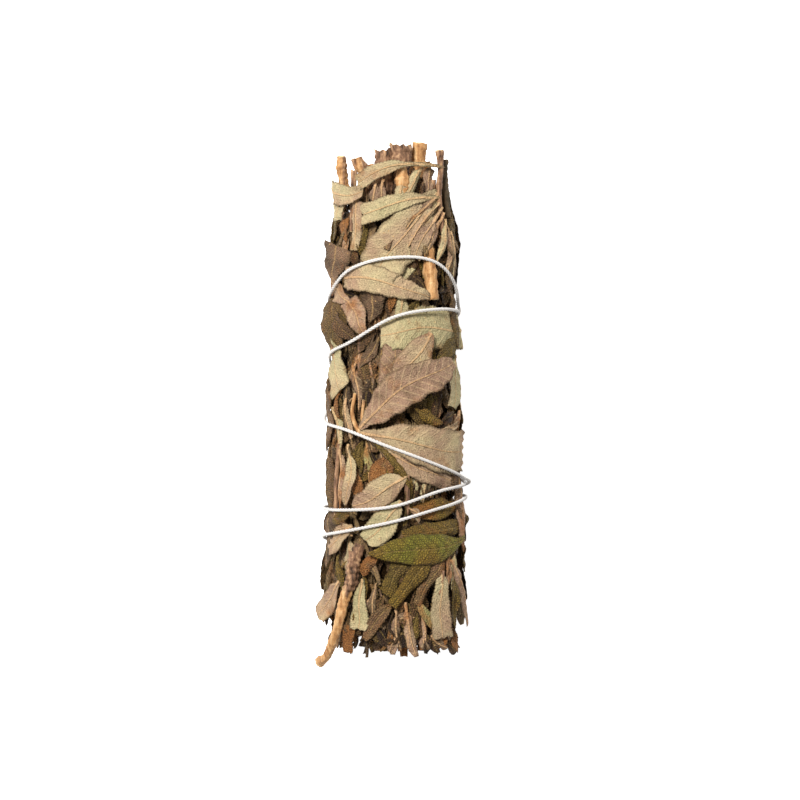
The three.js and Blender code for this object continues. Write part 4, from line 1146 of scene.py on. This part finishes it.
        leaf((-11.4, -35.8), (-14.4, -43), 5.6, 0.2, PINK_FELT, cut=0.48, curl=0.25, stalk=0.05,
             height=-0.6, tip=1.1),
        leaf((-9.4, -44), (-9.9, -49.8), 3.2, 0, RUSTY, base=0.3, cut=0.8, curl=0.4, stalk=0,
             height=-1.0),
    ]),
]


def lay_top_shoots():
    for seed, (name, slot, band, twigs, leaves) in enumerate(TOP_SHOOTS, start=TOP_SEED):
        heap = Gathered()
        for i, given in enumerate(twigs):
            route = laid_route(given.pop("route"), given.pop("height", band + 0.1))
            lay_stem(heap, route, seed=seed * 10 + i, sides=12, **given)
        layered(heap, [seen_from_above(given) for given in leaves], band, TOP_LAYERS, seed)
        finished(heap, name)


# The shoots on the sides and the underside keep to the same cells as in the part's source: a name,
# the height of their layer, and the angles and the heights along Y between which each cell lies.
CELL_MARGIN = 0.5
CELLS = [
    ("side", OVER, [(185, 236), (304, 355)], [(-46, -17), (-15, 13), (15, 44)]),
    ("floor", FLAT, [(239, 301)], [(-45, -17), (-15, 13), (15, 43)]),
    ("hidden", BELOW, [(205, 268), (272, 335)], [(-32, 30)]),
]
CELL_LEAVES = 11
CELL_LEAF = dict(step=0.4, across=9, wave=0.08)
CELL_LOOKS = [OLIVE, BROWN, GREY_FELT, DARK, FELT, OLIVE, PINK_FELT, BROWN]


def cell_leaves(column, row, draw):
    """Leaves that start along a cell's middle and end inside it, to its left and its right in turn."""
    middle = sum(column) / 2
    leaves = []
    for i in range(CELL_LEAVES):
        width = 3.4 + 2.4 * draw.random()
        at = mix(row[1] - 2, mix(*row, 0.3), 1 - i / (CELL_LEAVES - 1))
        margin = arc_to_angle(width / 2 + CELL_MARGIN)
        tip = middle + (1 if i % 2 else -1) * (6 + 22 * draw.random())
        tip = min(max(tip, column[0] + margin), column[1] - margin)
        end = (tip, max(at - 9 - 6 * draw.random(), row[0] + 1))
        look = picked(CELL_LOOKS, draw)
        shape = dict(cut=draw.uniform(0.75, 1), curl=draw.uniform(-0.6, 0.2))
        leaves.append(leaf((middle, at), end, width, draw.normal(0, 0.4), look, **shape, **CELL_LEAF))
    return leaves


def lay_cell_shoots():
    seed = CELL_SEED
    for name, band, columns, rows in CELLS:
        cells = [(column, row) for column in columns for row in rows]
        for count, (column, row) in enumerate(cells, start=1):
            seed += CELL_SEED_STEP
            heap = Gathered()
            heights = np.linspace(row[1] - 1, mix(*row, 0.4), 9)
            route = [place(sum(column) / 2, y, band - 0.12) for y in heights]
            lay_stem(heap, route, radii=[0.6, 0.42], tone=0.3, seed=seed, sides=10)
            leaves = cell_leaves(column, row, np.random.default_rng(seed))
            layered(heap, leaves, band, FLOOR_LAYERS if name == "floor" else CELL_LAYERS, seed)
            finished(heap, f"{name}_shoot_{count}")


# The sprigs inside.

def sector_angle(k, y):
    return 30 + SECTOR * k + SPRIG_TWIST * y


STEMS = [
    dict(
        depth=-6.8, start=-44, end=51.6, radius=1.4, lean=3, tone=0.95,
        chunks=[twig([(2.4, 50.6), (2.2, 48.4), (2.0, 42)], 0.1, [2.0, 1.7, 1.2], height=-4.4)],
    ),
    dict(
        depth=-6.4, start=-46, end=49.4, radius=1.0, lean=-7, tone=0.2,
        chunks=[
            twig([(-3.4, 49.6), (-3.2, 46), (-2.6, 41)], 0.1, [1.9, 1.7, 1.3], height=-4.4),
            twig([(-0.8, 50.9), (0.2, 49.6), (1, 48.4)], 0.0, [0.3, 0.35], height=-3.0),
            twig([(1.9, 46.2), (2.0, 43.4), (2.2, 40.6)], 0.85, [0.9, 1.4, 1.3], height=-2.4),
        ],
    ),
    dict(
        depth=-6.3, start=-45, end=48.6, radius=1.1, lean=8, tone=0.5,
        chunks=[twig([(-11.6, 45.8), (-12, 42.6)], 0.9, [0.8, 0.9], height=-1.6)],
    ),
    dict(depth=-6.5, start=-47, end=47.5, radius=1.2, lean=4, tone=0.6),
    dict(depth=-6.3, start=-44.5, end=46.8, radius=1.0, lean=-5, tone=0.4),
    dict(depth=-6.6, start=-48, end=48.2, radius=1.15, lean=-3, tone=0.5),
]


def stem_points(k):
    stem = STEMS[k]
    made = []
    for y in (stem["start"], CORE_FROM - 1, -20, 0, 20, CORE_TO + 1, stem["end"]):
        beyond = max(0, y - CORE_TO) / (stem["end"] - CORE_TO)
        made.append(place(sector_angle(k, y) + stem["lean"] * beyond, y, stem["depth"] + 1.8 * beyond))
    return made


CORE_AROUND = 13
CORE_ALONG = 60
CORE_SINK = 2.4
CORE_SINK_LENGTH = 5
CORE_INSIDE = 1.2


def sprig_core(k):
    """The dark packed inside of a sprig: a closed wedge that its leaves stand out of, near black as
    painted shade for the deep gaps between them. It sinks in towards both its ends."""
    heap = Gathered()
    y = np.linspace(CORE_FROM, CORE_TO, CORE_ALONG)
    ended = np.clip(np.minimum(y - CORE_FROM, CORE_TO - y) / CORE_SINK_LENGTH, 0, 1)
    share = np.linspace(-0.5, 0.5, CORE_AROUND)
    angle = sector_angle(k, y)[:, None] + share[None] * (SECTOR - 0.8)
    outside = place(angle, y[:, None], (CORE - CORE_SINK * (1 - ended))[:, None])
    middle = np.radians(sector_angle(k, y))[:, None] + np.radians(share * 20)[None]
    x, z = CORE_INSIDE * np.cos(middle), AXIS_HEIGHT + CORE_INSIDE * np.sin(middle)
    inside = np.stack(np.broadcast_arrays(x, y[:, None], z), -1)
    rings = np.concatenate([outside, inside[:, ::-1]], axis=1)
    uv = rings[..., :2] * 0
    heap.shell(rings, uv, uv, DARK)
    return heap.piece(f"sprig_{k + 1}_core", [CRUMBS_IN_PAINTED_SHADE])


# Crumpled strips of leaf, which Geometry Nodes scatters over each sprig.
STRIP_SHAPES = 7
STRIP_ALONG = 7
STRIP_ACROSS = 3
STRIP_THICKNESS = 0.24
STRIP_TINT = (0.4, 0.3, 0.2)
STRIPS_PER_SQUARE_METRE = 2.0e5


def crumpled_strips():
    """A few short strips of leaf to scatter, along +Y with their outer side towards +Z."""
    kept = bpy.data.collections.new("crumpled_strips")
    u = np.linspace(0, 1, STRIP_ALONG)[:, None]
    v = np.linspace(-1, 1, STRIP_ACROSS)[None]
    for i in range(STRIP_SHAPES):
        draw = np.random.default_rng(STRIP_SEED + i)
        heap = Gathered()
        length, width = mix(5, 9.5, draw.random()), mix(1.6, 3.2, draw.random())
        uneven = 0.8 + 0.4 * draw.random((STRIP_ALONG, 1))
        half = width / 2 * np.sin(np.pi * mix(0.12, 0.93, u)) ** 0.7 * uneven
        x = v * half + 0.7 * np.sin(3 * u + 6 * draw.random())
        z = 0.4 * np.abs(v) * np.sin(5 * u + 6 * draw.random())
        z = z + 0.12 * draw.normal(size=(STRIP_ALONG, STRIP_ACROSS))
        middle = np.stack(np.broadcast_arrays(x, u * length, z), -1)
        thick = np.array([0, 0, STRIP_THICKNESS / 2])
        rings = np.concatenate([middle + thick, (middle - thick)[:, ::-1]], axis=1)
        heap.shell(rings, *blade_uvs(u * length, half, u, v), STRIP_TINT)
        strip = heap.piece(f"crumpled_strip_{i}", [SAGE_LEAF])
        bpy.context.collection.objects.unlink(strip)
        kept.objects.link(strip)
    return kept


# What both Geometry Nodes trees use.

def random_value(tree, low, high, seed):
    sockets = {"Min": low, "Max": high, "Seed": seed}
    return socket_of(put(tree, "FunctionNodeRandomValue", sockets, data_type="FLOAT").outputs, "Value")


def compared(tree, value, operation, limit):
    sockets = {"A": value, "B": limit}
    return put(tree, "FunctionNodeCompare", sockets, data_type="FLOAT", operation=operation).outputs[0]


def standing_on(tree, normal):
    """A rotation whose Z lies along a surface's normal."""
    return put(tree, "FunctionNodeAlignRotationToVector", {"Vector": normal}, axis="Z").outputs[0]


def leaned(tree, rotation, about_x, about_y, seeds):
    """Turns a rotation about its own X and Y too, at random up to an angle in radians for each."""
    x = random_value(tree, -about_x, about_x, seeds[0])
    y = random_value(tree, -about_y, about_y, seeds[1])
    turn = put(tree, "FunctionNodeEulerToRotation", {"Euler": vector_of(tree, x, y)}).outputs[0]
    sockets = {"Rotation": rotation, "Rotate By": turn}
    return put(tree, "FunctionNodeRotateRotation", sockets, rotation_space="LOCAL").outputs[0]


def instanced(tree, points, shape, rotation, scale, **more):
    sockets = {"Points": points, "Instance": shape, "Rotation": rotation, "Scale": scale}
    for name, value in more.items():
        sockets[name.replace("_", " ").title()] = value
    return put(tree, "GeometryNodeInstanceOnPoints", sockets).outputs[0]


def realized(tree, geometry):
    return put(tree, "GeometryNodeRealizeInstances", {"Geometry": geometry}).outputs[0]


def joined_up(tree, *parts):
    joined = put(tree, "GeometryNodeJoinGeometry")
    for part in parts:
        tree.links.new(part, joined.inputs[0])
    return joined.outputs[0]


def held_within(tree, geometry):
    """Brings back the points that sink below or rise above the bunch's limits."""
    here = parts_of(tree, put(tree, "GeometryNodeInputPosition").outputs[0])
    up = maths(tree, "MINIMUM", maths(tree, "MAXIMUM", here["Z"], LOWEST * METRES), HIGHEST * METRES)
    held = {"Geometry": geometry, "Position": vector_of(tree, here["X"], here["Y"], up)}
    return put(tree, "GeometryNodeSetPosition", held).outputs[0]


def dressed(tree, geometry, material):
    return put(tree, "GeometryNodeSetMaterial", {"Geometry": geometry, "Material": material}).outputs[0]


def make_scattering(strips):
    """Scatters crumpled strips over a surface, mostly lying along the bunch."""
    inputs = {"Surface": GEOMETRY, "Strips per square metre": NUMBER, "Seed": WHOLE}
    values = {"Strips per square metre": STRIPS_PER_SQUARE_METRE, "Seed": 1}
    tree, given, made = new_tree(
        "scattered_strips", inputs, {"Leaves": GEOMETRY}, kind="GeometryNodeTree", values=values
    )
    facing = parts_of(tree, put(tree, "GeometryNodeInputNormal").outputs[0])["Y"]
    sown = {
        "Mesh": given["Surface"],
        "Selection": compared(tree, maths(tree, "ABSOLUTE", facing), "LESS_THAN", 0.6),
        "Density": given["Strips per square metre"],
        "Seed": given["Seed"],
    }
    points = put(tree, "GeometryNodeDistributePointsOnFaces", sown, distribute_method="RANDOM").outputs

    # Each strip lies flat and points along -Y, give or take, and then it leans a little.
    way = vector_of(tree, random_value(tree, -0.5, 0.5, 3), -1.0, random_value(tree, -0.25, 0.25, 9))
    along = {"Rotation": standing_on(tree, points["Normal"]), "Vector": way}
    turned = put(tree, "FunctionNodeAlignRotationToVector", along, axis="Y", pivot_axis="Z").outputs[0]
    leaning = leaned(tree, turned, 0.08, 0.4, (5, 7))
    lift = {0: points["Normal"], "Scale": random_value(tree, 0.0, 0.35 * METRES, 2)}
    lift = put(tree, "ShaderNodeVectorMath", lift, operation="SCALE").outputs[0]
    lifted = {"Geometry": points["Points"], "Offset": lift}
    lifted = put(tree, "GeometryNodeSetPosition", lifted).outputs[0]
    picks = {"Collection": strips, "Separate Children": True, "Reset Children": True}
    shapes = put(tree, "GeometryNodeCollectionInfo", picks).outputs[0]
    size = random_value(tree, 0.7, 1.15, 11)
    laid = instanced(tree, lifted, shapes, leaning, size, pick_instance=True)

    # Each has a tint of its own, and a few show their felted side.
    tint = {"Red": random_value(tree, 0.0, 0.5, 21), "Blue": random_value(tree, 0.0, 0.6, 22)}
    tint["Green"] = compared(tree, random_value(tree, 0, 1, 23), "GREATER_THAN", 0.86)
    colour = put(tree, "FunctionNodeCombineColor", tint).outputs[0]
    stored = {"Geometry": laid, "Name": "leaf", "Value": colour}
    tinted = put(
        tree, "GeometryNodeStoreNamedAttribute", stored, data_type="FLOAT_COLOR", domain="INSTANCE"
    ).outputs[0]
    strips_laid = dressed(tree, held_within(tree, realized(tree, tinted)), SAGE_LEAF)
    tree.links.new(joined_up(tree, given["Surface"], strips_laid), made["Leaves"])
    return tree


def set_input(modifier, name, value):
    """Sets a Geometry Nodes modifier's input by the identifier of the socket with that name."""
    for item in modifier.node_group.interface.items_tree:
        if item.item_type == "SOCKET" and item.in_out == "INPUT" and item.name == name:
            modifier[item.identifier] = value


def made_plain(source, tree, inputs, name):
    """Runs a Geometry Nodes tree on an object and keeps its result as a plain mesh."""
    modifier = source.modifiers.new(tree.name, "NODES")
    modifier.node_group = tree
    for title, value in inputs.items():
        set_input(modifier, title, value)
    evaluated = source.evaluated_get(bpy.context.evaluated_depsgraph_get())
    mesh = bpy.data.meshes.new_from_object(evaluated)
    mesh.name = name
    source.modifiers.clear()
    piece = bpy.data.objects.new(name, mesh)
    bpy.context.collection.objects.link(piece)
    bpy.data.objects.remove(source)
    return piece


def joined_into(piece, others):
    """Joins other objects into a piece."""
    bpy.ops.object.select_all(action="DESELECT")
    for other in [piece, *others]:
        other.select_set(True)
    bpy.context.view_layer.objects.active = piece
    bpy.ops.object.join()
    return piece


SPRIG_LEAF_COUNT = 16
SPRIG_LOOKS = [BROWN, OLIVE, DARK, DULL_FELT, DARK, OLIVE, FELT, BROWN]
FOOT_LOOKS = [BROWN, DULL_FELT, DARK, RUST, EARTH, DARK]
TUFTS = [
    dict(end=CORE_FROM, way=-1, looks=FOOT_LOOKS, count=44, reach=(3, 10.6)),
    dict(end=CORE_TO, way=1, looks=[DARK, BROWN, OLIVE, DULL_FELT], count=20, reach=(1.5, 5.5)),
]


def lay_sprig_leaves(k):
    """A sprig's whole leaves up its side, and the cut and broken ones that stand out of its ends."""
    heap = Gathered()
    draw = np.random.default_rng(SPRIG_SEED + k)
    for i in range(SPRIG_LEAF_COUNT):
        y = mix(40, -30, i / (SPRIG_LEAF_COUNT - 1)) + draw.normal(0, 1)
        turn = sector_angle(k, y) + draw.uniform(-0.4, 0.4) * SECTOR
        to = (turn + draw.uniform(-16, 16), y - draw.uniform(9, 15))
        height = draw.uniform(-2.6, -1.9)
        lay_leaf(
            heap, (turn, y), to, draw.uniform(2.6, 4.6), picked(SPRIG_LOOKS, draw),
            bend=draw.normal(0, 0.5), root=CORE, band=height, wave=0.4, curl=draw.uniform(-1.0, 0.35),
            step=0.5, across=7, seed=int(draw.integers(9999)),
        )
    for tuft in TUFTS:
        for _ in range(tuft["count"]):
            depth = draw.uniform(-11, -2.2)
            turn = sector_angle(k, tuft["end"]) + draw.uniform(-0.48, 0.48) * SECTOR
            reach = mix(*tuft["reach"], draw.random() ** 1.6)
            to = (turn + draw.normal(0, 7), tuft["end"] + tuft["way"] * reach)
            lay_leaf(
                heap, (turn, tuft["end"] - tuft["way"] * 4), to, draw.uniform(0.8, 2.4),
                picked(tuft["looks"], draw), root=depth - 1, band=depth,
                tip=min(depth + draw.uniform(0, 1.2), -1.6), wave=0.5, curl=draw.uniform(-0.9, 1.4),
                cut=draw.uniform(0.6, 0.95), tilt=(draw.normal(0, 15), draw.normal(0, 30)),
                step=0.5, across=5, seed=int(draw.integers(9999)),
            )
    return heap.piece(f"sprig_{k + 1}_whole_leaves", LEAFY)


def lay_sprig_bark(k):
    """A sprig's stem, with the cut chunks of wood that show at its upper end."""
    heap = Gathered()
    stem = STEMS[k]
    for i, chunk in enumerate(stem.get("chunks", [])):
        route = laid_route(chunk["route"], chunk["height"])
        seed = CHUNK_SEED + 5 * k + i
        lay_stem(heap, route, chunk["radii"], chunk["tone"], seed, sides=18, knobs=0.16, broken=0.9)
    radii = [stem["radius"] * part for part in (1, 0.95, 1.05)]
    lay_stem(heap, stem_points(k), radii, stem["tone"], STEM_SEED + k, sides=18)
    return heap.piece(f"sprig_{k + 1}_bark", LEAFY)


def lay_sprigs():
    strips = crumpled_strips()
    scattering = make_scattering(strips)
    for k in range(SPRIGS):
        seed = {"Seed": SCATTER_SEED + k}
        leaves = made_plain(sprig_core(k), scattering, seed, f"sprig_{k + 1}_dried")
        joined_into(leaves, [lay_sprig_leaves(k)])
        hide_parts(f"sprig_{k + 1}_leaves")
        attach(leaves, "root")
        bark = lay_sprig_bark(k)
        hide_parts(f"sprig_{k + 1}_stem")
        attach(bark, "root")
    for strip in list(strips.objects):
        bpy.data.objects.remove(strip)
    bpy.data.collections.remove(strips)


# The bare cut stems on the outside, seen from above.
BARE_STEMS = {
    "cut_stem_lower": dict(
        height=[-1.0, 0.1, 0.1, 0.1, 0.1, 0.1, 0.1],
        tone=[0.15, 0.3, 0.42, 0.85, 0.95, 0.8, 0.95, 0.7],
        route=[
            (-7.5, -28.4), (-8.1, -32), (-8.6, -35.6), (-9.8, -39.4), (-11.2, -45), (-13.3, -50.3),
            (-14.7, -51.9),
        ],
        radii=[0.9, 1.3, 1.15, 1.0, 0.95, 0.9, 0.85, 0.95],
        knobs=[0.2, 0.26, 0.2, 0.06, 0.05, 0.05, 0.14],
    ),
    "cut_stem_upper": dict(
        height=[-0.3, -0.6, -1.4],
        tone=[0.5, 0.7],
        route=[(-10.6, 48.8), (-10.9, 45.6), (-10.8, 43), (-10.4, 41.2)],
        radii=[0.85, 1.05, 0.9, 0.7],
        knobs=0.16,
    ),
    "cut_stem_edge": dict(
        height=-1.2,
        tone=0.0,
        route=[(11.0, 48.2), (11.3, 44), (11.6, 37)],
        radii=[0.95, 0.85, 0.8],
        knobs=0.1,
        dark=0.8,
    ),
}


def lay_bare_stems():
    for seed, (name, stem) in enumerate(BARE_STEMS.items(), start=BARE_SEED):
        heap = Gathered()
        route = laid_route(stem.pop("route"), stem.pop("height"))
        lay_stem(heap, route, seed=seed, sides=20, step=0.25, **stem)
        piece = heap.piece(f"{name}_bark", LEAFY)
        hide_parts(name)
        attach(piece, "root")


# The twine: three strands laid round each other along the winding, the knot and its two tails.

WINDING_POINTS = 900
STRAND_RADIUS = 0.185
LAY_LENGTH = 2.2
TWINE_STEP = 0.29
FIBRES_PER_SQUARE_METRE = 1.2e6
FIBRE_RADIUS = 0.014
FIBRE_LENGTH = 0.38
FIBRE_LEAN = 1.2
WRAPS = 2.25
WRAP_RADIUS = 0.8
WRAP_PITCH = 0.95
KNOT_HEIGHT = TWINE_LIFT + CROSSING_LIFT
FIRST_TAIL = [
    (0.3, 0, 1.68), (-0.8, -0.4, 1.6), (-1.4, -1.8, 1.1), (-1.2, -4, 0.75), (-0.2, -7.6, 0.75),
]
SECOND_TAIL = [(2.2, -1.6, 1.5), (3, -3, 0.9), (3.3, -5, 0.75), (2.3, -7.4, 0.8)]
WRAP = [
    (-0.6 + WRAP_PITCH * i / 8, WRAP_RADIUS * cosine(45 * i), KNOT_HEIGHT + WRAP_RADIUS * sine(45 * i))
    for i in range(int(WRAPS * 8) + 1)
]


def winding_points():
    turn = np.linspace(FIRST_TURN, LAST_TURN, WINDING_POINTS)
    rise = sum(
        CROSSING_LIFT * np.exp(-((np.radians(turn - at) * HALF_WIDTH / CROSSING_WIDTH) ** 2))
        for at in (FIRST_TURN, *CROSSING_TURNS, LAST_TURN)
    )
    return place(180 - turn, twine_y(turn), TWINE_LIFT + rise)


def knot_points(points):
    """A curve through points by the knot, each given along the twine, along Y and outwards."""
    first = 180 - FIRST_TURN
    made = [place(first - arc_to_angle(along), TWINE_Y[0] + y, out) for along, y, out in points]
    return smooth_path(made, 0.3)


def make_twine_strands():
    """Sweeps three round strands along a route, turning as they go, with short loose fibres."""
    sizes = {"Strand radius": STRAND_RADIUS, "Lay length": LAY_LENGTH, "Step": TWINE_STEP}
    values = {name: size * METRES for name, size in sizes.items()}
    values["Fibres per square metre"] = FIBRES_PER_SQUARE_METRE
    inputs = {"Route": GEOMETRY, **{name: NUMBER for name in values}}
    tree, given, made = new_tree(
        "twine_strands", inputs, {"Twine": GEOMETRY}, kind="GeometryNodeTree", values=values
    )

    # Three strands, swept along the route with a turn for each lay length.
    route = put(tree, "GeometryNodeMeshToCurve", {"Mesh": given["Route"]}).outputs[0]
    spaced = {"Curve": route, "Length": given["Step"]}
    even = put(tree, "GeometryNodeResampleCurve", spaced, mode="LENGTH").outputs[0]
    travelled = put(tree, "GeometryNodeSplineParameter").outputs["Length"]
    turns = maths(tree, "MULTIPLY", maths(tree, "DIVIDE", travelled, given["Lay length"]), 2 * math.pi)
    twisted = put(tree, "GeometryNodeSetCurveTilt", {"Curve": even, "Tilt": turns}).outputs[0]
    circle = "GeometryNodeCurvePrimitiveCircle"
    strand = put(tree, circle, {"Resolution": 7, "Radius": given["Strand radius"]}).outputs[0]
    apart = maths(tree, "MULTIPLY", given["Strand radius"], 0.95)
    around = put(tree, circle, {"Resolution": 3, "Radius": apart}).outputs[0]
    three = put(tree, "GeometryNodeInstanceOnPoints", {"Points": around, "Instance": strand}).outputs[0]
    sweep = {"Curve": twisted, "Profile Curve": realized(tree, three), "Fill Caps": True}
    swept = put(tree, "GeometryNodeCurveToMesh", sweep).outputs[0]
    smooth = put(tree, "GeometryNodeSetShadeSmooth", {"Geometry": swept}).outputs[0]

    # Loose fibres stand on the strands and lean all ways.
    sown = {"Mesh": swept, "Density": given["Fibres per square metre"]}
    roots = put(tree, "GeometryNodeDistributePointsOnFaces", sown).outputs
    leaning = leaned(tree, standing_on(tree, roots["Normal"]), FIBRE_LEAN, FIBRE_LEAN, (31, 32))
    shape = {"Vertices": 3, "Radius Bottom": FIBRE_RADIUS * METRES, "Depth": FIBRE_LENGTH * METRES}
    fibre = put(tree, "GeometryNodeMeshCone", shape).outputs["Mesh"]
    fuzz = instanced(tree, roots["Points"], fibre, leaning, random_value(tree, 0.4, 1.2, 33))
    whole = held_within(tree, realized(tree, joined_up(tree, fuzz, smooth)))
    tree.links.new(dressed(tree, whole, COTTON), made["Twine"])
    return tree


def lay_twine():
    wraps = [(-1.6, 1, 1.55), *WRAP, *SECOND_TAIL]
    routes = [winding_points(), knot_points(FIRST_TAIL), knot_points(wraps)]
    points, edges = [], []
    for route in routes:
        edges += [(len(points) + i, len(points) + i + 1) for i in range(len(route) - 1)]
        points += [tuple(point * METRES) for point in route]
    mesh = bpy.data.meshes.new("twine_route")
    mesh.from_pydata(points, edges, [])
    route = bpy.data.objects.new("twine_route", mesh)
    bpy.context.collection.objects.link(route)
    twine = made_plain(route, make_twine_strands(), {}, "cotton_strands")
    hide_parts("twine")
    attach(twine, "root")


lay_twine()
lay_sprigs()
lay_bare_stems()
lay_top_shoots()
lay_cell_shoots()
